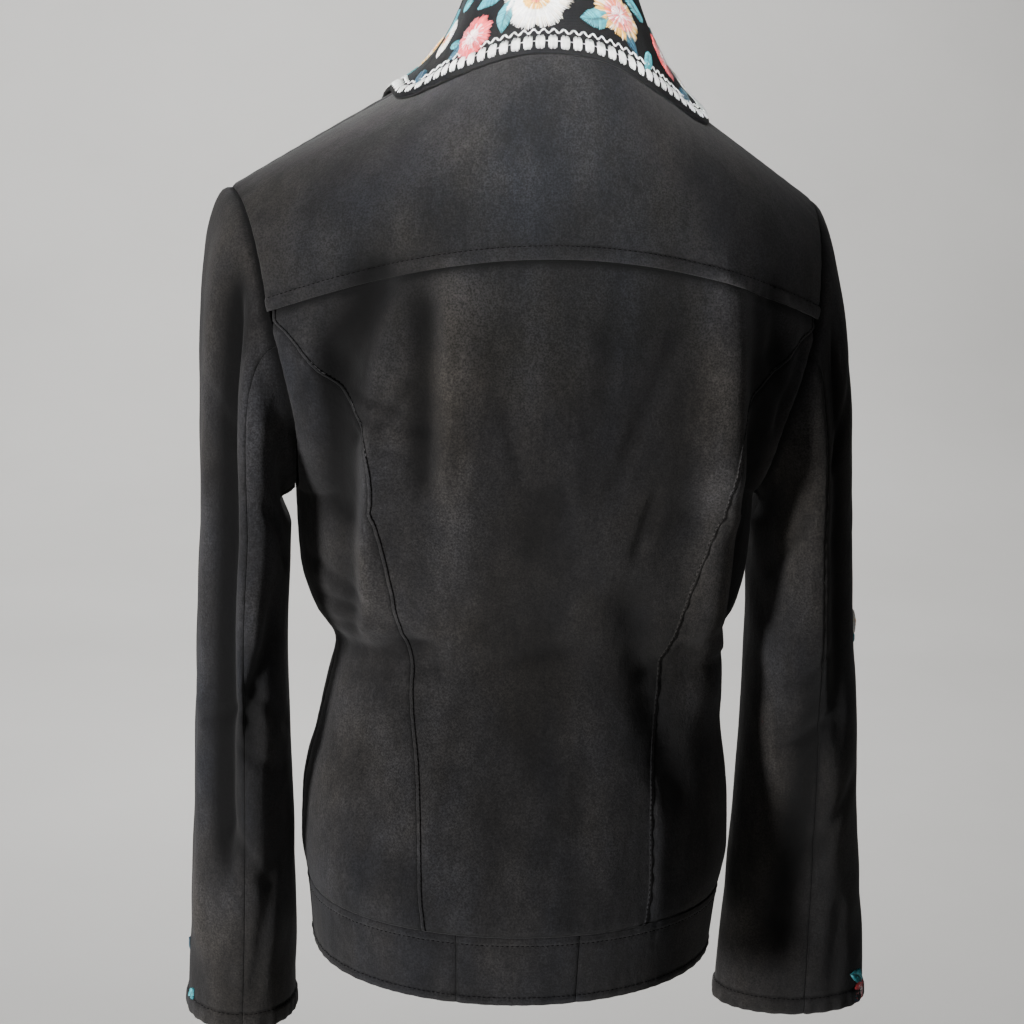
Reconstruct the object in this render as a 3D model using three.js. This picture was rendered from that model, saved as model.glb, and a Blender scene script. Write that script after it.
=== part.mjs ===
// Short embroidered jacket in suede-like cloth, hollow, held up at the neck as if worn.
// Millimetres, +Z up. The front faces -Y, and +X is the wearer's left.
// The origin is the middle of the neck at the height of the nape.
import * as THREE from 'three';

// Driving dimensions
const CLOTH = 2;                  // wall of the single cloth
const BAND_CLOTH = 2.6;           // wall of the folded hem band
const COLLAR_CLOTH = 2.2;         // wall of the faced collar
const SEAM_GAP = 0.3;             // clear gap between two pieces at a seam
const ARMHOLE_GAP = 2;            // clear gap between body and sleeve at the armhole
const FRONT_GAP = 3;              // the fronts hang edge to edge, this far apart

const NAPE = [0, 60, -5];         // middle of the back neck seam
const NECK_POINT = [70, -5, -45]; // where shoulder seam and neck seam meet
const FRONT_NECK = [0, -97, -112];
const NECK_CURVE = 1.3;           // over 1 lets the neck seam fall faster beside its middle
const TIP_LEFT = [205, -5, -124]; // outer end of each shoulder seam, from the middle outwards
const TIP_RIGHT = [189, -5, -124];
const NECK_SHARE = 0.34;          // share of the half width that lies under the neck seam
const NECK_SOFTEN = 0.14;         // how far the corner at the neck point is spread below it
const CORNER_DROP = 4;            // fall of the cloth from the shoulder seam to the shoulder blade
const CORNER_DEPTH = 0.96;        // depth of that corner, as a share of the yoke seam's depth
const FLATNESS = 0.82;            // under 1 flattens the middle of front and back

// A table: rows of values under named columns
const table = (columns, ...rows) => {
  const names = columns.split(' ');
  return rows.map((row) => Object.fromEntries(names.map((name, i) => [name, row[i]])));
};

// Body sections from the yoke seam to the hem. Middle of the back: zBack, yBack.
// Middle of the front: zFront, yFront. Side edge (armhole, then side seam): xSide, zSide and
// the two depths ySideBack, ySideFront. rightMore: how much fuller the right side hangs.
// turn: how far round the section runs, in degrees.
const SECTIONS = table(
  'name zBack yBack zFront yFront xSide rightMore zSide ySideBack ySideFront turn',
  ['yoke', -158, 108, -190, -113, 183, 0, -200, 60, -50, 62],
  ['blade', -222, 116, -236, -123, 173, 0, -238, 66, -57, 66],
  ['chest', -272, 114, -277, -127, 164, 0, -278, 56, -51, 71],
  ['armhole_low', -298, 111, -300, -127, 161, 0, -306, 38, -38, 77],
  ['armhole_turn', -315, 108, -316, -126, 159.5, 0, -322, 18, -22, 84],
  ['underarm', -332, 105, -332, -124, 159, 0, -331, -4, -4, 90],
  ['side_bulge', -380, 94, -380, -114, 155, 3, -380, -4, -4, 90],
  ['bulge_foot', -410, 88, -410, -106, 145, 8, -410, -4, -4, 90],
  ['waist', -440, 85, -440, -100, 130, 12, -438, -4, -4, 90],
  ['high_hip', -486, 90, -486, -102, 139, 5, -485, -4, -4, 90],
  ['hip', -545, 103, -545, -109, 151, 0, -545, -4, -4, 90],
  ['low_hip', -582, 112, -580, -113, 151.5, 0, -580, -4, -4, 90],
  ['band_top', -612, 116, -608, -115, 147, 0, -608, -4, -4, 90],
  ['hem', -661, 114, -655, -113, 142, 0, -656, -4, -4, 90],
);
const TOP = -1;                   // level of the shoulder and neck seam
const YOKE = 0;                   // level of the yoke seam; the others are rows of the table
const CHEST = 2;
const UNDERARM = 5;
const HIGH_HIP = 9;
const BAND = 12;
const HEM = 13;

// Seam between centre back and side back: share of the half width at each level
const PRINCESS = table(
  'level share',
  [0.18, 0.985],
  [0.5, 0.915],
  [1, 0.83],
  [1.5, 0.715],
  [2, 0.64],
  [5, 0.51],
  [6.2, 0.455],
  [8, 0.46],
  [10, 0.36],
  [12, 0.355],
);
const PRINCESS_START = PRINCESS[0].level;

// The largest folds, as soft troughs (negative) and ridges (positive) along a line
// from one end to the other, in the picture plane of the back (side 1) or front (side -1)
const FOLDS = table(
  'name side x0 z0 x1 z1 spread height',
  ['left_blade_upper', 1, 118, -176, 140, -232, 13, -8],
  ['left_blade_lower', 1, 140, -232, 137, -318, 13, -9],
  ['left_groove', 1, 86, -192, 84, -300, 9, -5.5],
  ['left_side_ridge', 1, 122, -268, 112, -408, 11, 4.5],
  ['left_centre_ridge', 1, 62, -185, 58, -360, 15, 3.5],
  ['right_ridge_upper', 1, -106, -176, -116, -300, 15, 6],
  ['right_ridge_lower', 1, -116, -300, -122, -455, 16, 8],
  ['right_trough', 1, -146, -225, -143, -400, 13, -8],
  ['spine_hollow', 1, 8, -330, 4, -470, 26, -3.5],
  ['right_hip_drag', 1, -60, -395, -98, -520, 14, -3.5],
  ['left_waist_bunch', 1, 128, -432, 84, -424, 9, -4],
  ['front_left_drag', -1, 120, -225, 88, -360, 15, -6],
  ['front_right_drag', -1, -124, -220, -82, -345, 15, -6],
  ['front_left_fall', -1, 60, -330, 66, -520, 16, -4],
  ['front_right_fall', -1, -52, -345, -62, -540, 16, -4],
  ['front_left_roll', -1, 34, -250, 30, -470, 16, 3],
  ['front_right_roll', -1, -36, -260, -28, -450, 16, 3],
);
const FOLD_END = 1.6;             // a fold fades past its end over this many of its spreads

// Hanging part of each sleeve: middle of the tube, half width across (rx) and half depth (ry)
const RINGS_LEFT = table(
  'name x y z rx ry',
  ['upper', 193, -4, -352, 31, 69],
  ['above_elbow', 195, -4, -420, 31, 66],
  ['elbow', 193.5, -8, -500, 33, 61],
  ['forearm', 192, -15, -580, 35.5, 56],
  ['above_cuff', 191.5, -22, -660, 38, 50],
  ['cuff', 192, -27, -716, 39, 48],
);
const RINGS_RIGHT = table(
  'name x y z rx ry',
  ['upper', 196, -4, -352, 33.5, 68],
  ['above_elbow', 201, -4, -420, 36, 64],
  ['elbow', 206, -7, -500, 41, 57],
  ['forearm', 210, -12, -580, 46, 50],
  ['above_cuff', 214, -17, -660, 53, 42],
  ['cuff', 216, -20, -720, 57, 38],
);
// capSpring: how strongly the cap springs out of the armhole, capTop: how much more at its top
const SLEEVES = [
  { word: 'left', hand: 1, rings: RINGS_LEFT, capSpring: 75, capTop: 8 },
  { word: 'right', hand: -1, rings: RINGS_RIGHT, capSpring: 48, capTop: 4 },
];
const CAP_BACK = 0.1;             // parts of the spring that lead backwards and down
const CAP_DOWN = 0.3;
const CUFF = RINGS_LEFT.length - 1;

// Folds of the hanging sleeves: angle round the tube (0 outside, 90 back), and heights
const SLEEVE_FOLDS = table(
  'name side angle0 angle1 z0 z1 spread height',
  ['left_back_trough', 1, 58, 62, -150, -560, 17, -11],
  ['left_inner_bulge', 1, 100, 104, -260, -400, 24, 5],
  ['left_elbow', 1, 120, 96, -420, -470, 15, -6],
  ['left_front_trough', 1, 300, 296, -190, -520, 18, -8],
  ['right_back_trough', -1, 70, 66, -190, -470, 16, -7],
  ['right_forearm_trough', -1, 96, 112, -480, -640, 18, -7],
  ['right_front_trough', -1, 292, 298, -200, -560, 18, -8],
);
const SLEEVE_FOLD_END = 35;       // a sleeve fold fades past its end over this length
const BACK_SEAM_ANGLE = 88;       // seam between top sleeve and under sleeve at the back
const FRONT_SEAM_ANGLE = 238;     // and at the front

// Collar: height and inward lean of the stand, from the nape (0) to the front end (1)
const STAND = table(
  'name at height leanLeft leanRight',
  ['nape', 0, 40, 5, 5],
  ['side', 0.42, 40, 22, 15],
  ['front', 1, 28, 4, 4],
);
// Outer edge of the collar as it lies on the body: share of the half width, and how far
// down the yoke (positive, back) or down the upper front (negative). bow: how far the
// fall stands proud of the straight line from its roll to its edge. The halves lie unlike.
const COLLAR_EDGE = table(
  'name at shareLeft downLeft bowLeft shareRight downRight bowRight',
  ['nape', 0, 0, 0.395, 5, 0, 0.395, 5],
  ['back', 0.16, 0.2, 0.345, 3, 0.2, 0.4, 3],
  ['back_side', 0.3, 0.36, 0.27, -5, 0.37, 0.355, -3],
  ['behind_shoulder', 0.38, 0.435, 0.24, -8, 0.46, 0.34, -5],
  ['turn', 0.44, 0.465, 0.13, -9, 0.505, 0.28, -5],
  ['shoulder', 0.5, 0.47, -0.03, -9, 0.515, 0.12, -4],
  ['front_side', 0.62, 0.48, -0.36, 0, 0.51, -0.31, 0],
  ['front', 0.8, 0.37, -0.68, 3, 0.37, -0.68, 3],
  ['point', 1, 0.22, -0.84, 3, 0.22, -0.84, 3],
);
const SEAM_SHARE_BACK = 0.42;     // share of the half neck seam that lies on the back
const STAND_AIM = 10;             // the stand leans to a point this far in front of the origin
const COLLAR_LIFT = 5;            // how far the collar's outer face lies off the body
const FALL_CLEAR = 1.2;           // the fall starts this far over the stand
const ROLL_RISE = 6.5;            // how far the fold of the collar rises over its stand
const ROLL_OUT = 6.5;             // and how far it stands out from it

// Band joins under the centre back, as share of the half width (left positive)
const BAND_JOIN_LEFT = 0.245;
const BAND_JOIN_RIGHT = -0.125;

const SUEDE = { color: 0x2a2827, roughness: 0.95, metalness: 0 };
const COLLAR_FABRIC = { color: 0x1b1b1d, roughness: 0.85, metalness: 0 };

// Small vector helpers
const add = (a, b) => a.map((value, i) => value + b[i]);
const minus = (a, b) => a.map((value, i) => value - b[i]);
const scale = (a, k) => a.map((value) => value * k);
const mix = (a, b, t) => a.map((value, i) => value + (b[i] - value) * t);
const total = (...vectors) => vectors.reduce(add);
const length = (a) => Math.hypot(...a);
const unit = (a) => scale(a, 1 / length(a));
const cross = (a, b) => [
  a[1] * b[2] - a[2] * b[1],
  a[2] * b[0] - a[0] * b[2],
  a[0] * b[1] - a[1] * b[0],
];
const clamp = (t, low, high) => Math.min(high, Math.max(low, t));
const radians = (degrees) => degrees * Math.PI / 180;
// Hand of the wearer on which a share lies: 1 left, -1 right; -0 is the right front's edge
const handOf = (share) => (share < 0 || Object.is(share, -0) ? -1 : 1);
const mirrored = (hand, [x, y, z]) => [hand * x, y, z];
const smooth = (low, high, t) => {
  const k = clamp((t - low) / (high - low), 0, 1);
  return k * k * (3 - 2 * k);
};

// Even steps from the first value over the others, with a count of steps before each
function steps(from, ...stages) {
  const values = [from];
  for (let i = 0; i < stages.length; i += 2) {
    const [to, count] = [stages[i], stages[i + 1]];
    const start = values[values.length - 1];
    for (let k = 1; k <= count; k += 1) values.push(start + (to - start) * k / count);
  }
  return values;
}

// Reads a column of a table at a place between its rows, with no overshoot
function column(rows, key, place, placeKey) {
  const at = (i) => (placeKey ? rows[i][placeKey] : i);
  let i = 0;
  while (i < rows.length - 2 && place > at(i + 1)) i += 1;
  const slope = (j) => (rows[j + 1][key] - rows[j][key]) / (at(j + 1) - at(j));
  const tangent = (j) => {
    if (j === 0) return slope(0);
    if (j === rows.length - 1) return slope(j - 1);
    const before = slope(j - 1);
    const after = slope(j);
    return before * after <= 0 ? 0 : 2 * before * after / (before + after);
  };
  const span = at(i + 1) - at(i);
  const t = clamp((place - at(i)) / span, 0, 1);
  const start = (2 * t ** 3 - 3 * t ** 2 + 1) * rows[i][key];
  const leave = (t ** 3 - 2 * t ** 2 + t) * span * tangent(i);
  const end = (3 * t ** 2 - 2 * t ** 3) * rows[i + 1][key];
  const arrive = (t ** 3 - t ** 2) * span * tangent(i + 1);
  return start + leave + end + arrive;
}

// Shoulder seam and neck seam. side 1 is the back and -1 the front, share runs from
// -1 (right armhole) over 0 (middle) to 1 (left armhole).
function topLine(side, share) {
  const hand = handOf(share);
  const reach = Math.abs(share);
  if (reach >= NECK_SHARE) {
    const tip = hand > 0 ? TIP_LEFT : TIP_RIGHT;
    return mirrored(hand, mix(NECK_POINT, tip, (reach - NECK_SHARE) / (1 - NECK_SHARE)));
  }
  const middle = side > 0 ? NAPE : FRONT_NECK;
  const round = radians(90 * reach / NECK_SHARE);
  const along = Math.cos(round);
  const x = hand * NECK_POINT[0] * Math.sin(round);
  const y = NECK_POINT[1] + (middle[1] - NECK_POINT[1]) * along;
  const z = NECK_POINT[2] + (middle[2] - NECK_POINT[2]) * along ** NECK_CURVE;
  return [x, y, z];
}

// Spread of the neck point's corner below the seam: weights of the seam on both sides
const SOFT_WEIGHTS = table('off weight', [-1, 0.1], [-0.5, 0.25], [0, 0.3], [0.5, 0.25], [1, 0.1]);
const NEAR_TOP = -0.6;            // level down to which the shoulder seam has its say

function softTopLine(side, share, level) {
  const reach = NECK_SOFTEN * smooth(TOP, NEAR_TOP, level);
  const parts = SOFT_WEIGHTS.map(({ off, weight }) => {
    const place = share + off * reach;
    return scale(topLine(side, place), weight);
  });
  return total(...parts);
}

// One level section of the body, from the middle (0) to the side edge (1)
function sectionPoint(side, share, level) {
  const hand = handOf(share);
  const reach = Math.abs(share);
  const get = (key) => column(SECTIONS, key, level);
  const [zMiddle, yMiddle, ySide] = side > 0
    ? [get('zBack'), get('yBack'), get('ySideBack')]
    : [get('zFront'), get('yFront'), get('ySideFront')];
  const turn = radians(get('turn'));
  const angle = reach * turn;
  const across = Math.sin(angle) / Math.sin(turn);
  const end = Math.max(Math.cos(turn), 0) ** FLATNESS;
  const depth = (Math.max(Math.cos(angle), 0) ** FLATNESS - end) / (1 - end);
  const y = ySide + (yMiddle - ySide) * depth;
  const z = zMiddle + (get('zSide') - zMiddle) * across ** 2;
  const width = get('xSide') + (hand < 0 ? get('rightMore') * reach ** 2 : 0);
  return [hand * width * across, y, z];
}

// The body's smooth form, from the shoulder and neck seam to the hem
function bodyForm(side, share, level) {
  if (level >= YOKE) return sectionPoint(side, share, level);
  const top = softTopLine(side, share, level);
  const low = sectionPoint(side, share, YOKE);
  const corner = [(top[0] + low[0]) / 2, low[1] * CORNER_DEPTH, top[2] - CORNER_DROP];
  const t = level - TOP;
  return total(scale(top, (1 - t) ** 2), scale(corner, 2 * t * (1 - t)), scale(low, t * t));
}

const PROBE = 0.004;

// Outward direction of the body's form. Front and back share it along the shoulder seam.
function bodyNormal(side, share, level) {
  const hand = handOf(share);
  const nextShares = [share - PROBE, share + PROBE].map((value) => clamp(value, -1, 1));
  const nextLevels = [level - PROBE, level + PROBE].map((value) => clamp(value, TOP, HEM));
  const [inner, outer] = nextShares.map((value) => bodyForm(side, value, level));
  const [upper, lower] = nextLevels.map((value) => bodyForm(side, share, value));
  const probed = scale(unit(cross(minus(outer, inner), minus(lower, upper))), side);
  const nearTop = 1 - smooth(TOP, NEAR_TOP, level);
  const pastNeck = smooth(0.5 * NECK_SHARE, NECK_SHARE, Math.abs(share));
  const run = minus(hand > 0 ? TIP_LEFT : TIP_RIGHT, NECK_POINT);
  const seam = unit([-hand * run[2], 0, run[0]]);
  return unit(mix(probed, seam, nearTop * pastNeck));
}

// Height of the folds at a place: a soft bell across the line, faded at the line's ends
function foldHeight(side, x, z) {
  let sum = 0;
  for (const fold of FOLDS) {
    if (fold.side !== side) continue;
    const run = [fold.x1 - fold.x0, fold.z1 - fold.z0];
    const span = Math.hypot(...run);
    const along = ((x - fold.x0) * run[0] + (z - fold.z0) * run[1]) / span;
    const off = ((x - fold.x0) * run[1] - (z - fold.z0) * run[0]) / span;
    const past = Math.max(0, -along, along - span) / FOLD_END;
    sum += fold.height * Math.exp(-((off / fold.spread) ** 2) - (past / fold.spread) ** 2);
  }
  return sum;
}

const FOLD_LIMIT = 0.84;          // the body's folds flatten from here to the side edge
const FOLD_TOP = -0.75;           // and from the yoke seam up to this level
const FOLD_FULL = 0.05;

// Outer face of the body with its folds, and the outward direction there
function bodySurface(side, share, level) {
  const base = bodyForm(side, share, level);
  const normal = bodyNormal(side, share, level);
  const reach = Math.abs(share);
  const free = (1 - smooth(FOLD_LIMIT, 1, reach)) * smooth(FOLD_TOP, FOLD_FULL, level);
  const height = foldHeight(side, base[0], base[2]) * free;
  const open = side < 0 ? handOf(share) * FRONT_GAP / 2 * (1 - reach) : 0;
  return { point: total(base, scale(normal, height), [open, 0, 0]), normal };
}
const back = (share, level) => bodySurface(1, share, level);
const front = (share, level) => bodySurface(-1, share, level);

// Closed wall between an outer grid of points and the same grid moved inwards
function wallGeometry(outer, inner) {
  const rows = outer.length;
  const cols = outer[0].length;
  const positions = [outer, inner].flat(3);
  const index = [];
  const at = (layer, r, c) => layer * rows * cols + r * cols + c;
  const quad = (a, b, c, d) => index.push(a, b, c, a, c, d);
  for (let r = 0; r < rows - 1; r += 1) {
    for (let c = 0; c < cols - 1; c += 1) {
      quad(at(0, r, c), at(0, r + 1, c), at(0, r + 1, c + 1), at(0, r, c + 1));
      quad(at(1, r, c), at(1, r, c + 1), at(1, r + 1, c + 1), at(1, r + 1, c));
    }
  }
  const rim = [];
  for (let c = 0; c < cols; c += 1) rim.push([0, c]);
  for (let r = 1; r < rows; r += 1) rim.push([r, cols - 1]);
  for (let c = cols - 2; c >= 0; c -= 1) rim.push([rows - 1, c]);
  for (let r = rows - 2; r > 0; r -= 1) rim.push([r, 0]);
  rim.forEach(([r, c], i) => {
    const [nextRow, nextCol] = rim[(i + 1) % rim.length];
    const [a, b] = [at(0, r, c), at(0, nextRow, nextCol)];
    const [d, e] = [at(1, nextRow, nextCol), at(1, r, c)];
    // neighbouring pieces cut their facing rims along the same diagonal
    if (nextRow > r || nextCol > c) quad(a, b, d, e);
    else quad(b, d, e, a);
  });
  const corner = (i) => positions.slice(3 * i, 3 * i + 3);
  let volume = 0;
  for (let i = 0; i < index.length; i += 3) {
    const normal = cross(corner(index[i + 1]), corner(index[i + 2]));
    volume += corner(index[i]).reduce((sum, value, axis) => sum + value * normal[axis], 0);
  }
  // turned inside out, the wall's faces are read in the opposite order
  if (volume < 0) index.reverse();
  const geometry = new THREE.BufferGeometry();
  geometry.setAttribute('position', new THREE.Float32BufferAttribute(positions, 3));
  geometry.setIndex(index);
  geometry.computeVertexNormals();
  return geometry;
}

// Draws the four edges of a grid in by half the seam gap, so that pieces meet clear
function trimmed(grid) {
  const half = SEAM_GAP / 2;
  const last = grid.length - 1;
  const toward = (from, to) => scale(unit(minus(to, from)), half);
  const result = grid.map((row) => {
    const end = row.length - 1;
    const drawn = row.slice();
    drawn[0] = add(row[0], toward(row[0], row[1]));
    drawn[end] = add(row[end], toward(row[end], row[end - 1]));
    return drawn;
  });
  grid[0].forEach((_, c) => {
    result[0][c] = add(result[0][c], toward(grid[0][c], grid[1][c]));
    result[last][c] = add(result[last][c], toward(grid[last][c], grid[last - 1][c]));
  });
  return result;
}

// Makes a named wall from a surface function, over lists of levels and of shares a level
function wall(name, levels, sharesAt, surface, thickness, fabric, drawIn) {
  const found = levels.map((level) => sharesAt(level).map((share) => surface(share, level)));
  const points = found.map((row) => row.map((spot) => spot.point));
  const outer = drawIn ? trimmed(points) : points;
  const inner = outer.map((row, r) => row.map((point, c) => {
    const { normal } = found[r][c];
    return add(point, scale(normal, -thickness));
  }));
  const material = new THREE.MeshStandardMaterial(fabric);
  const mesh = new THREE.Mesh(wallGeometry(outer, inner), material);
  mesh.name = name;
  return mesh;
}

const suedePiece = (name, levels, sharesAt, surface, thickness = CLOTH) => (
  wall(name, levels, sharesAt, surface, thickness, SUEDE, true)
);

// Body pieces
const NECK_STEPS_BACK = 6;        // steps of the half neck seam, shared by body and collar
const NECK_STEPS_FRONT = 7;
const yokeShares = steps(-1, -NECK_SHARE, 6, NECK_SHARE, 2 * NECK_STEPS_BACK, 1, 6);
const lowerLevels = steps(PRINCESS_START, CHEST, 5, UNDERARM, 4, HIGH_HIP, 9, BAND, 7);
const backLevels = [YOKE, ...lowerLevels];
const frontShares = steps(0, NECK_SHARE, NECK_STEPS_FRONT, 1, 7);
const frontLevels = steps(TOP, YOKE, 6, CHEST, 4, UNDERARM, 4, HIGH_HIP, 8, BAND, 6);
const princess = (level) => column(PRINCESS, 'share', Math.max(level, PRINCESS_START), 'level');

function bodyPieces() {
  const centreShares = (level) => steps(-princess(level), princess(level), 16);
  const pieces = [
    suedePiece('back_yoke', steps(TOP, YOKE, 6), () => yokeShares, back),
    suedePiece('back_centre', backLevels, centreShares, back),
  ];
  for (const { word, hand } of SLEEVES) {
    const sideShares = (level) => steps(hand * princess(level), hand, 6);
    const shares = frontShares.map((share) => hand * share);
    pieces.push(suedePiece(`back_side_${word}`, lowerLevels, sideShares, back));
    pieces.push(suedePiece(`front_${word}`, frontLevels, () => shares, front));
  }
  return pieces;
}

// The band runs from the back over the side to the front: 0 middle back, 1 side, 2 middle front
function bandSurface(around, level) {
  const hand = handOf(around);
  const reach = Math.abs(around);
  return reach <= 1 ? back(hand * reach, level) : front(hand * (2 - reach), level);
}

function bandPieces() {
  const levels = steps(BAND, HEM, 3);
  const spans = {
    hem_band_centre: steps(BAND_JOIN_RIGHT, BAND_JOIN_LEFT, 5),
    hem_band_left: steps(BAND_JOIN_LEFT, 1, 9, 2, 12),
    hem_band_right: steps(BAND_JOIN_RIGHT, -1, 10, -2, 12),
  };
  return Object.entries(spans).map(([name, shares]) => (
    suedePiece(name, levels, () => shares, bandSurface, BAND_CLOTH)
  ));
}

// Levels down the armhole edge of the body, and how far along the edge each lies
const EDGE_STEPS = 60;
function edgeRun(hand, side) {
  const levels = steps(TOP, UNDERARM, EDGE_STEPS);
  const points = levels.map((level) => bodyForm(side, hand, level));
  const runs = [0];
  for (let i = 1; i < points.length; i += 1) {
    runs.push(runs[i - 1] + length(minus(points[i], points[i - 1])));
  }
  return { levels, runs };
}
const EDGES = Object.fromEntries(SLEEVES.map(({ word, hand }) => (
  [word, { back: edgeRun(hand, 1), front: edgeRun(hand, -1) }]
)));

// Armhole as a loop, written for the left arm: 0 shoulder tip, 90 back, 180 underarm, 270 front
function armhole({ word, hand }, angle) {
  const side = angle <= 180 ? 1 : -1;
  const { levels, runs } = side > 0 ? EDGES[word].back : EDGES[word].front;
  const goal = runs[EDGE_STEPS] * (side > 0 ? angle : 360 - angle) / 180;
  let i = 0;
  while (i < EDGE_STEPS - 1 && runs[i + 1] < goal) i += 1;
  const t = clamp((goal - runs[i]) / (runs[i + 1] - runs[i]), 0, 1);
  const level = levels[i] + (levels[i + 1] - levels[i]) * t;
  const point = mirrored(hand, bodyForm(side, hand, level));
  const normal = mirrored(hand, bodyNormal(side, hand, level));
  return { point, normal };
}

// Hanging tube of a sleeve, written for the left arm: angle round it, and place in its table
function tubePoint({ rings }, angle, place) {
  const get = (key) => column(rings, key, place);
  const turn = radians(angle);
  return [get('x') + get('rx') * Math.cos(turn), get('y') + get('ry') * Math.sin(turn), get('z')];
}

// Smooth form of a sleeve: place -1 is the armhole, 0 the first hanging ring
function sleeveForm(sleeve, angle, place) {
  if (place >= 0) return tubePoint(sleeve, angle, place);
  const turn = radians(angle);
  const clear = [ARMHOLE_GAP, 0, ARMHOLE_GAP * 0.5 * Math.cos(turn)];
  const start = add(armhole(sleeve, angle).point, clear);
  const end = tubePoint(sleeve, angle, 0);
  const spring = sleeve.capSpring + sleeve.capTop * Math.cos(turn);
  const out = [spring, CAP_BACK * spring * Math.sin(turn), -CAP_DOWN * spring];
  const fall = [0, 0, -length(minus(end, start))];
  const t = place + 1;
  return total(
    scale(start, 2 * t ** 3 - 3 * t ** 2 + 1),
    scale(out, t ** 3 - 2 * t ** 2 + t),
    scale(end, 3 * t ** 2 - 2 * t ** 3),
    scale(fall, t ** 3 - t ** 2),
  );
}

function sleeveFoldHeight(hand, angle, z) {
  let sum = 0;
  for (const fold of SLEEVE_FOLDS) {
    if (fold.side !== hand) continue;
    const t = clamp((z - fold.z0) / (fold.z1 - fold.z0), 0, 1);
    const off = angle - (fold.angle0 + (fold.angle1 - fold.angle0) * t);
    const past = Math.max(0, z - fold.z0, fold.z1 - z) / SLEEVE_FOLD_END;
    sum += fold.height * Math.exp(-((off / fold.spread) ** 2) - past ** 2);
  }
  return sum;
}

const ANGLE_PROBE = 0.6;
const NEAR_ARMHOLE = -0.86;       // place to which the cap keeps the body's direction
const CAP_FREE = -0.6;            // from here on the sleeve's folds have their full height
const CUFF_FREE = 0.7;            // rows above the cuff over which the folds flatten
const CUFF_CALM = 0.7;            // how much of a fold is gone at the cuff
const UNDER_ARC = [100, 150];     // away from the cap's top, its direction is its own again

function sleeveSurface(sleeve, anyAngle, place) {
  const angle = (anyAngle + 360) % 360;
  const form = (a, p) => sleeveForm(sleeve, a, clamp(p, TOP, CUFF));
  const round = minus(form(angle + ANGLE_PROBE, place), form(angle - ANGLE_PROBE, place));
  const down = minus(form(angle, place + PROBE), form(angle, place - PROBE));
  const fromTop = Math.abs(angle > 180 ? angle - 360 : angle);
  const upper = 1 - smooth(UNDER_ARC[0], UNDER_ARC[1], fromTop);
  const atEdge = 1 - smooth(TOP, NEAR_ARMHOLE, place);
  const own = unit(cross(down, round));
  const normal = unit(mix(own, armhole(sleeve, angle).normal, atEdge * upper));
  const base = form(angle, place);
  const calm = CUFF_CALM * smooth(CUFF - CUFF_FREE, CUFF, place);
  const height = sleeveFoldHeight(sleeve.hand, angle, base[2]);
  const lift = height * smooth(TOP, CAP_FREE, place) * (1 - calm);
  return {
    point: mirrored(sleeve.hand, add(base, scale(normal, lift))),
    normal: mirrored(sleeve.hand, normal),
  };
}

const ARMHOLE_PLACES = [-1, -0.93, -0.84];

function sleevePieces() {
  const places = [...ARMHOLE_PLACES.slice(0, 2), ...steps(ARMHOLE_PLACES[2], 0, 7, CUFF, 13)];
  const topAngles = steps(FRONT_SEAM_ANGLE - 360, BACK_SEAM_ANGLE, 14);
  const underAngles = steps(BACK_SEAM_ANGLE, FRONT_SEAM_ANGLE, 10);
  return SLEEVES.flatMap((sleeve) => {
    const surface = (angle, place) => sleeveSurface(sleeve, angle, place);
    return [
      suedePiece(`sleeve_top_${sleeve.word}`, places, () => topAngles, surface),
      suedePiece(`sleeve_under_${sleeve.word}`, places, () => underAngles, surface),
    ];
  });
}

// Collar: a half runs from the nape (0) to the front end (1)
function collarFrame(at) {
  const hand = handOf(at);
  const reach = Math.abs(at);
  const onBack = reach <= SEAM_SHARE_BACK;
  const share = NECK_SHARE * (onBack
    ? reach / SEAM_SHARE_BACK
    : (1 - reach) / (1 - SEAM_SHARE_BACK));
  const seam = topLine(onBack ? 1 : -1, hand * share);
  const open = onBack ? 0 : hand * FRONT_GAP / 2 * (1 - share);
  const word = hand > 0 ? 'Left' : 'Right';
  const get = (rows, key) => column(rows, key, reach, 'at');
  const down = get(COLLAR_EDGE, `down${word}`);
  const lies = down >= 0 ? back : front;
  const spot = lies(hand * get(COLLAR_EDGE, `share${word}`), Math.abs(down) + TOP);
  const edge = add(spot.point, scale(spot.normal, COLLAR_LIFT));
  const inward = unit([-seam[0], -STAND_AIM - seam[1], 0]);
  const height = get(STAND, 'height');
  const lean = get(STAND, `lean${word}`);
  const base = add(seam, [open, 0, SEAM_GAP + COLLAR_CLOTH * lean / height]);
  const top = total(base, scale(inward, lean), [0, 0, height]);
  return { base, top, edge, inward, bow: get(COLLAR_EDGE, `bow${word}`) };
}

const NECK_PROBE = 0.02;
const besideAt = (at) => [Math.max(at - NECK_PROBE, -1), Math.min(at + NECK_PROBE, 1)];

function standSurface(at, level) {
  const { base, top } = collarFrame(at);
  const [before, after] = besideAt(at).map((place) => {
    const frame = collarFrame(place);
    return mix(frame.base, frame.top, level);
  });
  const normal = unit(cross(minus(after, before), minus(base, top)));
  return { point: mix(base, top, level), normal };
}

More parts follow.
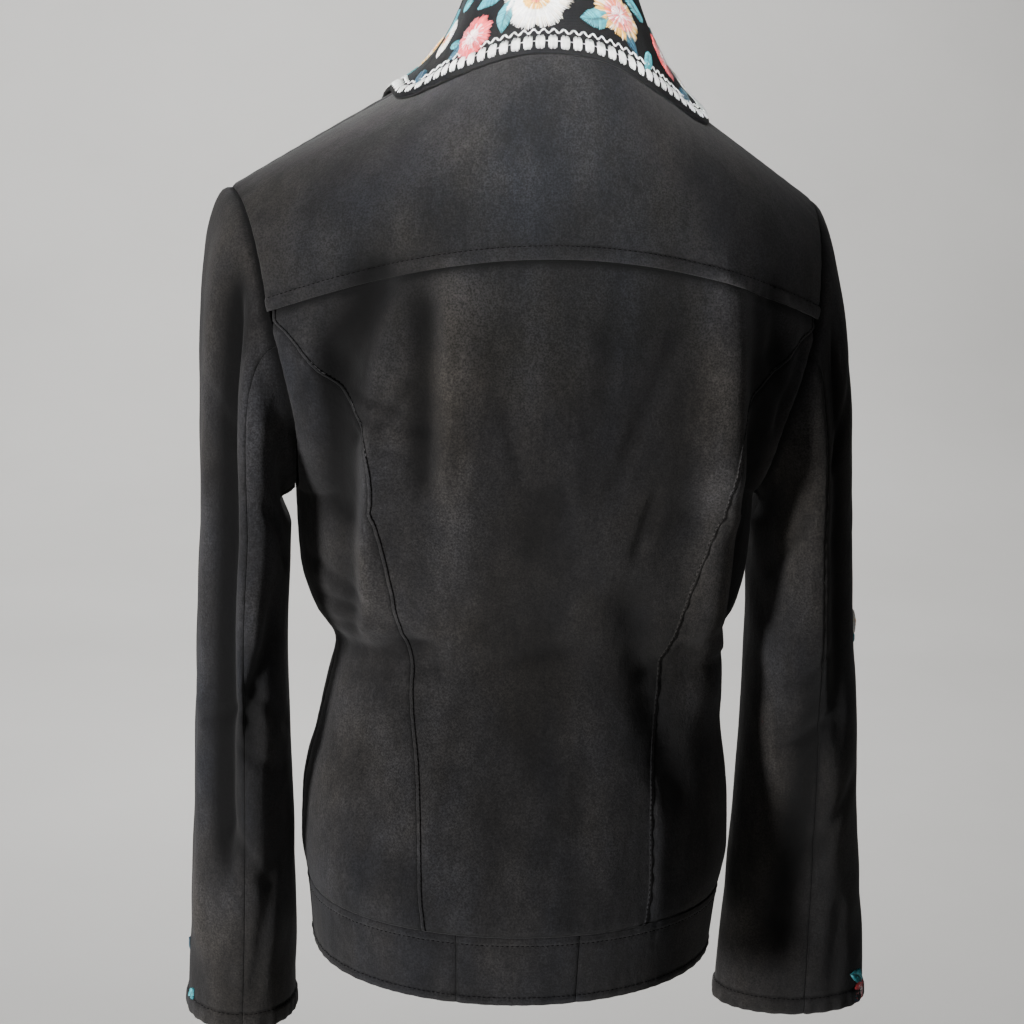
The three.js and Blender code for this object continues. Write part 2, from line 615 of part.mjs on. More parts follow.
// The fall: up from the stand and over the roll (0 to 1), then down to its edge on the body (2)
function fallPoint(at, t) {
  const { top, edge, inward, bow } = collarFrame(at);
  const out = unit([edge[0] - top[0], edge[1] - top[1], 0]);
  const start = total(top, scale(inward, COLLAR_CLOTH), [0, 0, FALL_CLEAR]);
  const beside = (sideways, upwards) => (
    total(start, scale(out, ROLL_OUT * sideways), [0, 0, ROLL_RISE * upwards])
  );
  const shoulder = beside(1.5, 0.35);
  if (t < 1) {
    return total(
      scale(start, (1 - t) ** 3),
      scale(beside(0, 0.9), 3 * t * (1 - t) ** 2),
      scale(beside(1.15, 1), 3 * t * t * (1 - t)),
      scale(shoulder, t ** 3),
    );
  }
  const k = t - 1;
  const proud = total(mix(shoulder, edge, 0.5), scale(out, bow), [0, 0, bow]);
  return total(scale(shoulder, (1 - k) ** 2), scale(proud, 2 * k * (1 - k)), scale(edge, k * k));
}

function fallSurface(at, t) {
  const [before, after] = besideAt(at).map((place) => fallPoint(place, t));
  const higher = fallPoint(at, Math.max(t - NECK_PROBE, 0));
  const lower = fallPoint(at, Math.min(t + NECK_PROBE, 2));
  const normal = unit(cross(minus(after, before), minus(lower, higher)));
  return { point: fallPoint(at, t), normal };
}

function collarPieces() {
  const half = steps(0, SEAM_SHARE_BACK, NECK_STEPS_BACK, 1, NECK_STEPS_FRONT);
  const ats = [...half.slice(1).reverse().map((at) => -at), ...half];
  const piece = (name, levels, surface) => (
    wall(name, levels, () => ats, surface, COLLAR_CLOTH, COLLAR_FABRIC, false)
  );
  return [
    piece('collar_stand', steps(0, 1, 2), standSurface),
    piece('collar_fall', steps(0, 1, 4, 2, 5), fallSurface),
  ];
}

const jacket = new THREE.Group();
jacket.name = 'jacket';
jacket.add(...bodyPieces(), ...bandPieces(), ...sleevePieces(), ...collarPieces());

export default jacket;
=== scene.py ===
# %% [markdown]
# # A short suede jacket with an embroidered collar
# The jacket hangs as if worn and is seen from behind. Every pattern piece of the maker is one
# thin shell here: yoke, centre back, side backs, fronts, hem band, two-piece sleeves, collar.
# We work in millimetres, as a cutter does, and turn to metres when a mesh is made.

# %% Load the frame
import math

import bmesh
import bpy
import numpy as np
from mathutils import Matrix, Vector


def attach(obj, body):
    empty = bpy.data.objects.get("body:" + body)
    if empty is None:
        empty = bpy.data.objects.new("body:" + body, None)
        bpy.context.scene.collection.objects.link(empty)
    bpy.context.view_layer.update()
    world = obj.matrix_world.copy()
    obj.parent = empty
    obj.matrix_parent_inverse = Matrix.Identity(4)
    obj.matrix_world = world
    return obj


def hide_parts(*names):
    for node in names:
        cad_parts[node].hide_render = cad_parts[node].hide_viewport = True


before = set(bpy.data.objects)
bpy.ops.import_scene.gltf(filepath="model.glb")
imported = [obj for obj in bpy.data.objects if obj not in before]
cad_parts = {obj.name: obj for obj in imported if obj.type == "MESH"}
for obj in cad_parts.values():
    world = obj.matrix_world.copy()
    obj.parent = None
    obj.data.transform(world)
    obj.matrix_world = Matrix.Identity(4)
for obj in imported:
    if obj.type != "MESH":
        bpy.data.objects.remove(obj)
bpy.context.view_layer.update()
MM = 0.001
chance = np.random.default_rng(11)
HANDS = ((1, "left"), (-1, "right"))


def linked(name, data, material=None):
    """Put an object with this data in the scene."""
    made = bpy.data.objects.new(name, data)
    bpy.context.collection.objects.link(made)
    if material:
        data.materials.append(material)
    return made


print("nodes to dress:", ", ".join(sorted(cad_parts)))

# %% [markdown]
# ## Camera
# The photographer stood behind the jacket, a little to its left, and looked slightly down.
# A camera could be placed by eye. Here its angles are kept as numbers, and its three axes are
# worked out from them, so that the picture can be compared with the photo edge by edge.

# %% Camera
CAMERA_AZIMUTH = math.radians(171)
CAMERA_RISE = math.radians(12.5)
CAMERA_ROLL = math.radians(2)
CAMERA_AIM = Vector((0.010, 0, -0.345))
CAMERA_DISTANCE = 1.55
CAMERA_LENS = 78.6

away = Vector((
    math.sin(CAMERA_AZIMUTH) * math.cos(CAMERA_RISE),
    -math.cos(CAMERA_AZIMUTH) * math.cos(CAMERA_RISE),
    math.sin(CAMERA_RISE),
))
level_right = (-away).cross(Vector((0, 0, 1))).normalized()
level_up = level_right.cross(-away)
camera_right = level_right * math.cos(CAMERA_ROLL) + level_up * math.sin(CAMERA_ROLL)
camera_up = level_up * math.cos(CAMERA_ROLL) - level_right * math.sin(CAMERA_ROLL)

camera = linked("camera", bpy.data.cameras.new("camera"))
camera.data.lens = CAMERA_LENS
turned = Matrix((camera_right, camera_up, away)).transposed().to_4x4()
camera.matrix_world = Matrix.Translation(CAMERA_AIM + away * CAMERA_DISTANCE) @ turned
bpy.context.scene.camera = camera
print("camera at", [round(v, 3) for v in camera.location])

# %% [markdown]
# ## Light and floor
# Black suede shows its folds only where light grazes it. One soft lamp stands round to the
# viewer's left, low enough to leave the yoke dim. A narrow beam brings out the collar and weak
# lamps open the shadows. Two broad ones light the floor, which curves up into a pale backdrop,
# as in a studio, so no horizon shows behind the jacket.

# %% Light and floor
FLOOR_HEIGHT = -1.4
FLOOR_HALF = 8
FLOOR_SIDE = 40
CURVE_START = -4
CURVE_RADIUS = 3
WALL_TOP = 6
WORLD_STRENGTH = 0.045
RAMP_MIDDLE = 0.51                # mean value of the noise that mottles a colour
LAMPS = [
    # name, place, point it is aimed at, size, angle of its beam and power
    ("key_lamp", (1.88, 1.22, -0.38), (0, 0, -0.45), 0.42, 180, 112),
    ("fill_lamp", (0.5, 2.6, 0.1), (0, 0, -0.4), 1.6, 180, 2),
    ("collar_lamp", (0.42, 1.30, 0.10), (0, 0.03, 0.05), 0.2, 22, 1.7),
    ("front_lamp", (-0.3, -2.6, 0.6), (0, 0, -0.3), 1.6, 180, 34),
    ("near_floor_lamp", (0, 6.5, 3.2), (0, 6.5, -1.4), 4.0, 100, 160),
    ("backdrop_lamp", (0, -3.4, 2.4), (0, -7, -0.8), 4.0, 180, 260),
]
for lamp_name, place, target, size, beam, power in LAMPS:
    lamp = linked(lamp_name, bpy.data.lights.new(lamp_name, "AREA"))
    lamp.data.shape = "DISK"
    lamp.data.size = size
    lamp.data.spread = math.radians(beam)
    lamp.data.energy = power
    lamp.location = place
    lamp.rotation_euler = (lamp.location - Vector(target)).to_track_quat("Z", "Y").to_euler()

world = bpy.data.worlds.new("studio")
world.use_nodes = True
background = world.node_tree.nodes["Background"]
background.inputs["Color"].default_value = (0.80, 0.81, 0.83, 1)
background.inputs["Strength"].default_value = WORLD_STRENGTH
bpy.context.scene.world = world


def with_sockets(made, sockets):
    """Set a node's sockets by name, with an underscore for each blank."""
    for socket, value in sockets.items():
        made.inputs[socket.replace("_", " ")].default_value = value
    return made


def node(tree, kind, **sockets):
    """Add a shader node with these sockets."""
    return with_sockets(tree.nodes.new(kind), sockets)


def new_material(name, **sockets):
    """A Principled material with these fixed sockets. Returns it with its tree and shader."""
    material = bpy.data.materials.new(name)
    material.use_nodes = True
    tree = material.node_tree
    return material, tree, with_sockets(tree.nodes["Principled BSDF"], sockets)


def noise_of(tree, coordinates, scale, detail=4.0, stretch=(1, 1, 1), roughness=0.6):
    """A plain noise value of this scale, stretched by axis."""
    mapping = node(tree, "ShaderNodeMapping", Scale=stretch)
    noise = node(tree, "ShaderNodeTexNoise", Scale=scale, Detail=detail, Roughness=roughness)
    tree.links.new(coordinates, mapping.inputs["Vector"])
    tree.links.new(mapping.outputs["Vector"], noise.inputs["Vector"])
    return noise.outputs["Fac"]


def mottled(tree, coordinates, scale, dark, light, stretch=(1, 1, 1), spread=0.19):
    """Colour that drifts between two tones with a noise of this scale, stretched by axis.
    The smaller the spread, the sharper the patches."""
    ramp = node(tree, "ShaderNodeValToRGB")
    first, last = ramp.color_ramp.elements
    first.position = RAMP_MIDDLE - spread
    first.color = (*dark, 1)
    last.position = RAMP_MIDDLE + spread
    last.color = (*light, 1)
    noise = noise_of(tree, coordinates, scale, 6.0, stretch, 0.62)
    tree.links.new(noise, ramp.inputs["Fac"])
    return ramp.outputs["Color"]


floor_paint, tree, shader = new_material("floor_paint", Roughness=0.8)
place = node(tree, "ShaderNodeTexCoord").outputs["Object"]
tone = mottled(tree, place, 0.7, (0.60, 0.59, 0.57), (0.66, 0.65, 0.63))
tree.links.new(tone, shader.inputs["Base Color"])

bm = bmesh.new()
bmesh.ops.create_grid(bm, x_segments=2, y_segments=160, size=1)
quarter = CURVE_RADIUS * math.pi / 2
for vert in bm.verts:
    run = (1 - vert.co.y) / 2 * (FLOOR_HALF - CURVE_START + quarter + WALL_TOP)
    past = run - (FLOOR_HALF - CURVE_START)
    turn = min(max(past / CURVE_RADIUS, 0), math.pi / 2)
    vert.co.x *= FLOOR_SIDE
    vert.co.y = FLOOR_HALF - min(run, FLOOR_HALF - CURVE_START) - CURVE_RADIUS * math.sin(turn)
    vert.co.z = FLOOR_HEIGHT + CURVE_RADIUS * (1 - math.cos(turn)) + max(past - quarter, 0)
floor_mesh = bpy.data.meshes.new("studio_floor")
bm.to_mesh(floor_mesh)
bm.free()
floor_mesh.shade_smooth()
floor = linked("studio_floor", floor_mesh, floor_paint)
print("floor", FLOOR_HEIGHT, "m below the neck, lamps:", len(LAMPS))

# %% [markdown]
# ## The cut, in numbers
# A cutter keeps a jacket as a few measured lines: the shoulder and neck seams, level sections
# down the body, the seams that divide them. We keep the same tables as the solids under these
# shells, so that every shell lies where its solid does. One reader takes a value between two
# rows without overshoot, which keeps seams smooth.

# %% Tables of the body
CLOTH = 2.0
BAND_CLOTH = 2.6
COLLAR_CLOTH = 2.2
SEAM_GAP = 0.3
ARMHOLE_GAP = 0.2
FRONT_GAP = 3
FLATNESS = 0.82
CORNER_DROP = 4
NECK_SHARE = 0.34

NAPE = np.array([0, 60, -5.0])
NECK_POINT = np.array([70, -5, -45.0])
FRONT_NECK = np.array([0, -97, -112.0])
SHOULDER_TIPS = {1: np.array([205, -5, -124.0]), -1: np.array([189, -5, -124.0])}
NECK_SOFTEN = 0.14                # how far the corner of the neck point is spread below it


def table(columns, *rows):
    """Rows of numbers with named columns, as a list of dictionaries."""
    return [dict(zip(columns.split(), row)) for row in rows]


SECTIONS = table(
    "name z_back y_back z_front y_front x_side right_more z_side y_side_back y_side_front turn",
    ("yoke", -158, 108, -190, -113, 183, 0, -200, 60, -50, 62),
    ("blade", -222, 116, -236, -123, 173, 0, -238, 66, -57, 66),
    ("chest", -272, 114, -277, -127, 164, 0, -278, 56, -51, 71),
    ("armhole_low", -298, 111, -300, -127, 161, 0, -306, 38, -38, 77),
    ("armhole_turn", -315, 108, -316, -126, 159.5, 0, -322, 18, -22, 84),
    ("underarm", -332, 105, -332, -124, 159, 0, -331, -4, -4, 90),
    ("side_bulge", -380, 94, -380, -114, 155, 3, -380, -4, -4, 90),
    ("bulge_foot", -410, 88, -410, -106, 145, 8, -410, -4, -4, 90),
    ("waist", -440, 85, -440, -100, 130, 12, -438, -4, -4, 90),
    ("high_hip", -486, 90, -486, -102, 139, 5, -485, -4, -4, 90),
    ("hip", -545, 103, -545, -109, 151, 0, -545, -4, -4, 90),
    ("low_hip", -582, 112, -580, -113, 151.5, 0, -580, -4, -4, 90),
    ("band_top", -612, 116, -608, -115, 147, 0, -608, -4, -4, 90),
    ("hem", -661, 114, -655, -113, 142, 0, -656, -4, -4, 90),
)
PRINCESS = table(
    "section share",
    (0.18, 0.985),
    (0.5, 0.915),
    (1, 0.83),
    (1.5, 0.715),
    (2, 0.64),
    (5, 0.51),
    (6.2, 0.455),
    (8, 0.46),
    (10, 0.36),
    (12, 0.355),
)
UNDERARM_SECTION = 5
BAND_SECTION = 12
HEM_SECTION = 13


# %% Helpers for rows of vectors
def column(rows, key, place, places=None):
    """A column's value at a place between its rows, smooth and with no overshoot."""
    at = np.array([row[places] if places else i for i, row in enumerate(rows)], float)
    value = np.array([row[key] for row in rows], float)
    slope = np.diff(value) / np.diff(at)
    agree = slope[:-1] * slope[1:] > 0
    total = np.where(agree, slope[:-1] + slope[1:], 1)
    inner = np.where(agree, 2 * slope[:-1] * slope[1:] / total, 0)
    tangent = np.concatenate([slope[:1], inner, slope[-1:]])
    place = np.asarray(place, float)
    i = np.clip(np.searchsorted(at, place, side="left") - 1, 0, len(at) - 2)
    span = at[i + 1] - at[i]
    t = np.clip((place - at[i]) / span, 0, 1)
    start = (2 * t**3 - 3 * t**2 + 1) * value[i] + (t**3 - 2 * t**2 + t) * span * tangent[i]
    end = (3 * t**2 - 2 * t**3) * value[i + 1] + (t**3 - t**2) * span * tangent[i + 1]
    return start + end


def matched(*values):
    """These values as arrays of numbers of one shape."""
    return np.broadcast_arrays(*[np.asarray(value, float) for value in values])


def unit(vectors):
    """The same directions with length one."""
    return vectors / np.linalg.norm(vectors, axis=-1, keepdims=True)


def smooth(low, high, value):
    """Soft step from 0 at low to 1 at high."""
    k = np.clip((value - low) / (high - low), 0, 1)
    return k * k * (3 - 2 * k)


def blended(a, b, k):
    """Vectors on the way from a (k = 0) to b (k = 1)."""
    return a + (b - a) * np.asarray(k)[..., None]


def hand_of(share):
    """Which hand of the wearer a signed share lies on: 1 left, -1 right."""
    return np.where(np.signbit(share), -1.0, 1.0)


print("waist half width", float(column(SECTIONS, "x_side", 8)), "mm")


# %% [markdown]
# ## The body's form
# A share says how far round we are, from the middle (0) to the side (1), and a level how far
# down, from the shoulder seam (-1) over the yoke seam (0) to the hem (13). Each level section
# is a flattened arc. Its outward direction comes from two small steps on the form itself.

# %% Body form
def shoulder_tip(hand):
    """The outer end of the shoulder seam on this hand, written for the left."""
    return np.where((hand > 0)[..., None], SHOULDER_TIPS[1], SHOULDER_TIPS[-1])


def top_line(side, share):
    """Shoulder seam and neck seam. side is 1 for the back and -1 for the front."""
    reach = np.abs(share)
    hand = hand_of(share)
    past = np.maximum((reach - NECK_SHARE) / (1 - NECK_SHARE), 0)
    shoulder = blended(NECK_POINT, shoulder_tip(hand), past)
    middle = NAPE if side > 0 else FRONT_NECK
    around = np.radians(90 * np.clip(reach / NECK_SHARE, 0, 1))
    along = np.clip(np.cos(around), 0, 1)
    neck = np.stack([
        NECK_POINT[0] * np.sin(around),
        NECK_POINT[1] + (middle[1] - NECK_POINT[1]) * along,
        NECK_POINT[2] + (middle[2] - NECK_POINT[2]) * along**1.3,
    ], -1)
    point = np.where((reach >= NECK_SHARE)[..., None], shoulder, neck)
    point[..., 0] *= hand
    return point


def section_point(side, share, level):
    """A point of one level section of the body."""
    word = "back" if side > 0 else "front"
    hand = hand_of(share)
    reach = np.abs(share)
    turn = np.radians(column(SECTIONS, "turn", level))
    angle = reach * turn
    across = np.sin(angle) / np.sin(turn)
    end = np.maximum(np.cos(turn), 0) ** FLATNESS
    depth = (np.maximum(np.cos(angle), 0) ** FLATNESS - end) / (1 - end)
    y_side = column(SECTIONS, f"y_side_{word}", level)
    z_middle = column(SECTIONS, f"z_{word}", level)
    fuller = np.where(hand < 0, column(SECTIONS, "right_more", level) * reach**2, 0)
    x = hand * (column(SECTIONS, "x_side", level) + fuller) * across
    y = y_side + (column(SECTIONS, f"y_{word}", level) - y_side) * depth
    z = z_middle + (column(SECTIONS, "z_side", level) - z_middle) * across**2
    return np.stack(np.broadcast_arrays(x, y, z), -1)


def body_form(side, share, level):
    """The body without its folds."""
    share, level = matched(share, level)
    low = section_point(side, share, np.maximum(level, 0))
    reach = NECK_SOFTEN * smooth(-1, -0.6, level)
    top = sum(weight * top_line(side, share + k * reach)
              for k, weight in ((-1, 0.1), (-0.5, 0.25), (0, 0.3), (0.5, 0.25), (1, 0.1)))
    corner = np.stack([(top[..., 0] + low[..., 0]) / 2, low[..., 1] * 0.96,
                       top[..., 2] - CORNER_DROP], -1)
    t = np.clip(level + 1, 0, 1)[..., None]
    upper = top * (1 - t) ** 2 + corner * 2 * t * (1 - t) + low * t**2
    return np.where((level >= 0)[..., None], low, upper)


PROBE = 0.004


def body_normal(side, share, level):
    """Outward direction of the body. Front and back share it along the shoulder seam."""
    share, level = matched(share, level)
    across = (body_form(side, np.minimum(share + PROBE, 1), level)
              - body_form(side, np.maximum(share - PROBE, -1), level))
    down = (body_form(side, share, np.minimum(level + PROBE, HEM_SECTION))
            - body_form(side, share, np.maximum(level - PROBE, -1)))
    probed = unit(np.cross(across, down)) * side
    near_top = 1 - smooth(-1, -0.6, level)
    past_neck = smooth(0.5 * NECK_SHARE, NECK_SHARE, np.abs(share))
    hand = hand_of(share)
    run = shoulder_tip(hand) - NECK_POINT
    seam = unit(np.stack([-hand * run[..., 2], 0 * hand, run[..., 0]], -1))
    return unit(blended(probed, seam, near_top * past_neck))


# %% [markdown]
# ## Folds and creases
# Folds could come from a cloth simulation, but then they would fall where it likes. Here each
# is a soft bell laid along a line, a trough or a ridge, set down where the photo has one. The
# big ones are also in the solids. The creases below are finer, and the hidden front has like
# ones. Height and spread are in millimetres.

# %% Folds of the body
FOLDS = table(
    "side x0 z0 x1 z1 spread height",
    (1, 118, -176, 140, -232, 13, -8),      # left shoulder blade
    (1, 140, -232, 137, -318, 13, -9),
    (1, 86, -192, 84, -300, 9, -5.5),
    (1, 122, -268, 112, -408, 11, 4.5),
    (1, 62, -185, 58, -360, 15, 3.5),
    (1, -106, -176, -116, -300, 15, 6),     # the long ridge on the right
    (1, -116, -300, -122, -455, 16, 8),
    (1, -146, -225, -143, -400, 13, -8),
    (1, 8, -330, 4, -470, 26, -3.5),        # hollow along the spine
    (1, -60, -395, -98, -520, 14, -3.5),
    (1, 128, -432, 84, -424, 9, -4),
    (-1, 120, -225, 88, -360, 15, -6),      # the fronts
    (-1, -124, -220, -82, -345, 15, -6),
    (-1, 60, -330, 66, -520, 16, -4),
    (-1, -52, -345, -62, -540, 16, -4),
    (-1, 34, -250, 30, -470, 16, 3),
    (-1, -36, -260, -28, -450, 16, 3),
)
CREASES = table(
    "side x0 z0 x1 z1 spread height",
    (1, -72, -213, -40, -301, 6, -1.7),
    (1, 34, -252, 25, -296, 5, -1.3),
    (1, 95, -240, 116, -274, 4.5, -2.4),
    (1, 112, -245, 126, -276, 4, -2.4),
    (1, 112, -182, 126, -216, 8, -2.5),     # the left trough, dark below its outer ridge
    (1, 128, -240, 127, -330, 7, -2.8),
    (1, 128, -340, 125, -412, 7, -2.8),
    (1, 152, -226, 148, -312, 7, 2.6),
    (1, 119, -276, 116, -412, 4.5, 2.6),    # and the sharp lit edge beside it
    (1, 73, -186, 71, -300, 6, 2.2),        # lit side of the narrow groove
    (1, -118, -180, -126, -330, 7, 2.6),    # edge of the shadow on the right
    (1, -126, -330, -131, -430, 7, 2.4),
    (1, -134, -190, -141, -420, 7, -3.0),
    (1, -68, -316, -60, -350, 5, -1.5),
    (1, -35, -176, -30, -236, 7, -1.0),
    (1, -143, -178, -163, -268, 6, -3.0),   # the two folds that meet behind the right arm
    (1, -172, -208, -160, -276, 5, -2.6),
    (1, 128, -250, 104, -257, 4.5, -1.8),   # small bunches beside the left arm
    (1, 122, -265, 84, -270, 4, -1.4),
    (1, 118, -282, 96, -288, 4, -1.1),
    (1, 146, -372, 112, -396, 5, -2.2),     # drag lines into the left waist
    (1, 140, -396, 96, -408, 5, -2.4),
    (1, 133, -414, 78, -418, 4.5, -2.0),
    (1, 120, -448, 70, -436, 5, -1.8),
    (1, -128, -416, -78, -440, 6, -2.2),
    (1, -130, -440, -92, -448, 5, -1.8),
    (1, -20, -420, 34, -432, 7, -1.4),
    (1, 18, -200, 14, -262, 9, 1.2),
    (1, -10, -268, -16, -330, 8, 1.3),
    (1, 66, -470, 74, -560, 9, 1.6),
    (1, 24, -490, 30, -590, 10, -1.3),
    (1, -30, -500, -24, -600, 9, -1.4),
    (1, -88, -530, -84, -604, 8, 1.6),
    (1, 112, -500, 118, -580, 8, -1.5),
    (-1, 104, -250, 70, -300, 6, -1.8),
    (-1, 90, -330, 60, -372, 6, -1.6),
    (-1, 118, -418, 66, -436, 5, -2.2),
    (-1, 112, -446, 74, -452, 5, -1.6),
    (-1, 92, -500, 88, -590, 8, 1.5),
    (-1, 22, -520, 20, -600, 7, -1.2),
    (-1, -96, -246, -66, -310, 6, -1.9),
    (-1, -112, -300, -84, -352, 6, -1.7),
    (-1, -122, -424, -72, -444, 5, -2.3),
    (-1, -110, -452, -60, -448, 5, -1.5),
    (-1, -86, -510, -92, -596, 8, 1.6),
    (-1, -24, -500, -30, -590, 7, -1.3),
)


def bell(off, past, spread):
    """Soft bell across a line, faded beyond the line's ends."""
    return np.exp(-((off / spread) ** 2) - (past / (1.6 * spread)) ** 2)


def fold_height(rows, side, x, z):
    """Height of these folds at places of the back (side 1) or the front (side -1)."""
    height = np.zeros(np.broadcast(x, z).shape)
    for fold in rows:
        if fold["side"] != side:
            continue
        run = np.array([fold["x1"] - fold["x0"], fold["z1"] - fold["z0"]], float)
        span = np.hypot(*run)
        along = ((x - fold["x0"]) * run[0] + (z - fold["z0"]) * run[1]) / span
        off = ((x - fold["x0"]) * run[1] - (z - fold["z0"]) * run[0]) / span
        past = np.maximum(0, np.maximum(-along, along - span))
        height += fold["height"] * bell(off, past, fold["spread"])
    return height


DRIFT = chance.uniform(-1, 1, (64, 64))


def drift(x, z, cell):
    """Slow uneven swell between -1 and 1, the same at each run; cell is its size in mm."""
    u, v = x / cell + 31.3, z / cell + 47.7
    i, j = np.floor(u).astype(int), np.floor(v).astype(int)
    s, t = smooth(0, 1, u - i), smooth(0, 1, v - j)
    at = lambda a, b: DRIFT[(i + a) % 64, (j + b) % 64]
    near = at(0, 0) * (1 - s) + at(1, 0) * s
    far = at(0, 1) * (1 - s) + at(1, 1) * s
    return near * (1 - t) + far * t


SWELLS = ((0.7, 34), (0.35, 15))  # height and size of the slow unevenness of the body
FOLD_END = 0.84                   # share past which folds fade, then creases
CREASE_END = 0.92
BAND_FADE = 0.3                   # levels over which creases fade above the hem band
YOKE_FADE = (-0.75, 0.05)         # levels over which all folds grow below the shoulders


def body_folds(side, share, level):
    """Height of all folds and creases at a place of the body."""
    base = body_form(side, share, level)
    reach = np.abs(share)
    x, z = base[..., 0], base[..., 2]
    large = fold_height(FOLDS, side, x, z) * (1 - smooth(FOLD_END, 1, reach))
    fine = fold_height(CREASES, side, x, z)
    for height, cell in SWELLS:
        fine = fine + height * drift(x, z, cell)
    fine = fine * (1 - smooth(CREASE_END, 1, reach))
    fine = fine * (1 - smooth(BAND_SECTION - BAND_FADE, BAND_SECTION, level))
    return (large + fine) * smooth(*YOKE_FADE, level)


def body_surface(side, share, level):
    """Outer face of the body with folds and creases, and the outward direction there."""
    share, level = matched(share, level)
    normal = body_normal(side, share, level)
    height = body_folds(side, share, level)
    point = body_form(side, share, level) + normal * height[..., None]
    if side < 0:
        point[..., 0] += FRONT_GAP / 2 * (1 - np.abs(share)) * hand_of(share)
    return point, normal


print("folds", len(FOLDS), "creases", len(CREASES))

# %% [markdown]
# ## Sleeves
# Each sleeve springs from the armhole as a cap and then hangs as an oval tube. Angles run
# round it: 0 outside, 90 back, 180 inside, 270 front. Place -1 is the armhole, 0 the first
# hanging ring and 5 the cuff.

# %% Tables of the sleeves
SLEEVES = {
    1: table(
        "name x y z rx ry",
        ("upper", 193, -4, -352, 31, 69),
        ("above_elbow", 195, -4, -420, 31, 66),
        ("elbow", 193.5, -8, -500, 33, 61),
        ("forearm", 192, -15, -580, 35.5, 56),
        ("above_cuff", 191.5, -22, -660, 38, 50),
        ("cuff", 192, -27, -716, 39, 48),
    ),
    -1: table(
        "name x y z rx ry",
        ("upper", 196, -4, -352, 33.5, 68),
        ("above_elbow", 201, -4, -420, 36, 64),
        ("elbow", 206, -7, -500, 41, 57),
        ("forearm", 210, -12, -580, 46, 50),
        ("above_cuff", 214, -17, -660, 53, 42),
        ("cuff", 216, -20, -720, 57, 38),
    ),
}
CAP_SPRING = {1: (75, 8), -1: (48, 4)}   # how strongly the cap springs out, how much more on top
SLEEVE_FOLDS = table(
    "side angle0 z0 angle1 z1 spread height",
    (1, 58, -150, 62, -560, 17, -11),
    (1, 100, -260, 104, -400, 24, 5),
    (1, 120, -420, 96, -470, 15, -6),
    (1, 300, -190, 296, -520, 18, -8),
    (-1, 70, -190, 66, -470, 16, -7),
    (-1, 96, -480, 112, -640, 18, -7),
    (-1, 292, -200, 298, -560, 18, -8),
)
SLEEVE_CREASES = table(
    "side angle0 z0 angle1 z1 spread height",
    (1, 54, -190, 57, -560, 7, -3.0),       # the dark trough down the back of the left sleeve
    (1, 80, -235, 82, -480, 6, 2.8),
    (1, 27, -165, 29, -640, 9, 3.2),        # the lit ridge outside it
    (1, 30, -250, 64, -300, 5, -1.8),
    (1, 112, -330, 150, -372, 5, -2.4),
    (1, 96, -452, 150, -488, 6, -1.3),
    (1, 88, -500, 140, -520, 5, -1.0),
    (1, 40, -480, 74, -470, 6, -1.8),
    (1, 70, -560, 112, -600, 7, -1.6),
    (1, 120, -590, 100, -680, 8, -1.8),
    (1, 236, -430, 280, -470, 6, -2.6),
    (1, 250, -520, 300, -500, 6, -2.0),
    (1, 310, -300, 345, -350, 6, -1.6),
    (1, 330, -560, 352, -640, 8, -1.5),
    (-1, 36, -240, 74, -300, 5, -2.0),
    (-1, 110, -340, 148, -380, 5, -2.2),
    (-1, 86, -440, 140, -470, 6, -1.4),
    (-1, 80, -486, 128, -508, 5, -2.2),
    (-1, 46, -540, 84, -580, 7, -2.0),
    (-1, 60, -640, 64, -700, 8, -1.7),
    (-1, 240, -440, 284, -484, 6, -2.6),
    (-1, 256, -530, 304, -508, 6, -2.0),
    (-1, 314, -310, 346, -360, 6, -1.6),
    (-1, 332, -590, 350, -660, 8, -1.5),
)
MM_PER_DEGREE = 0.85              # along the sleeve's skin, near enough for placing creases
FOLD_FADE = 35
BACK_SEAM_ANGLE = 88
FRONT_SEAM_ANGLE = 238
CUFF_PLACE = 5
SLEEVE_SWELL = (0.7, 30)          # height and size of the slow unevenness of a sleeve
SLEEVE_RADIUS = 60                # of the round on which that unevenness is read


# %% Armhole and sleeve form
def armhole_edge(hand, side):
    """Levels down the body's armhole edge, and how far along it each lies."""
    levels = np.linspace(-1, UNDERARM_SECTION, 61)
    points = body_form(side, hand, levels)
    steps = np.linalg.norm(np.diff(points, axis=0), axis=-1)
    return levels, np.concatenate([[0], np.cumsum(steps)])


EDGES = {(hand, side): armhole_edge(hand, side) for hand in (1, -1) for side in (1, -1)}


def armhole(hand, angle):
    """Point and outward direction of an armhole, written for the left arm: 0 is the tip."""
    back_part = (angle <= 180)[..., None]
    mirror = np.array([hand, 1, 1])
    found = {}
    for side, part in ((1, angle / 180), (-1, (360 - angle) / 180)):
        levels, runs = EDGES[hand, side]
        level = np.interp(part * runs[-1], runs, levels)
        found[side] = body_form(side, hand, level), body_normal(side, hand, level)
    return tuple(np.where(back_part, found[1][i], found[-1][i]) * mirror for i in (0, 1))


def tube_point(rows, angle, place):
    """A point of the hanging tube, written for the left arm."""
    turn = np.radians(angle)
    x = column(rows, "x", place) + column(rows, "rx", place) * np.cos(turn)
    y = column(rows, "y", place) + column(rows, "ry", place) * np.sin(turn)
    return np.stack(np.broadcast_arrays(x, y, column(rows, "z", place)), -1)


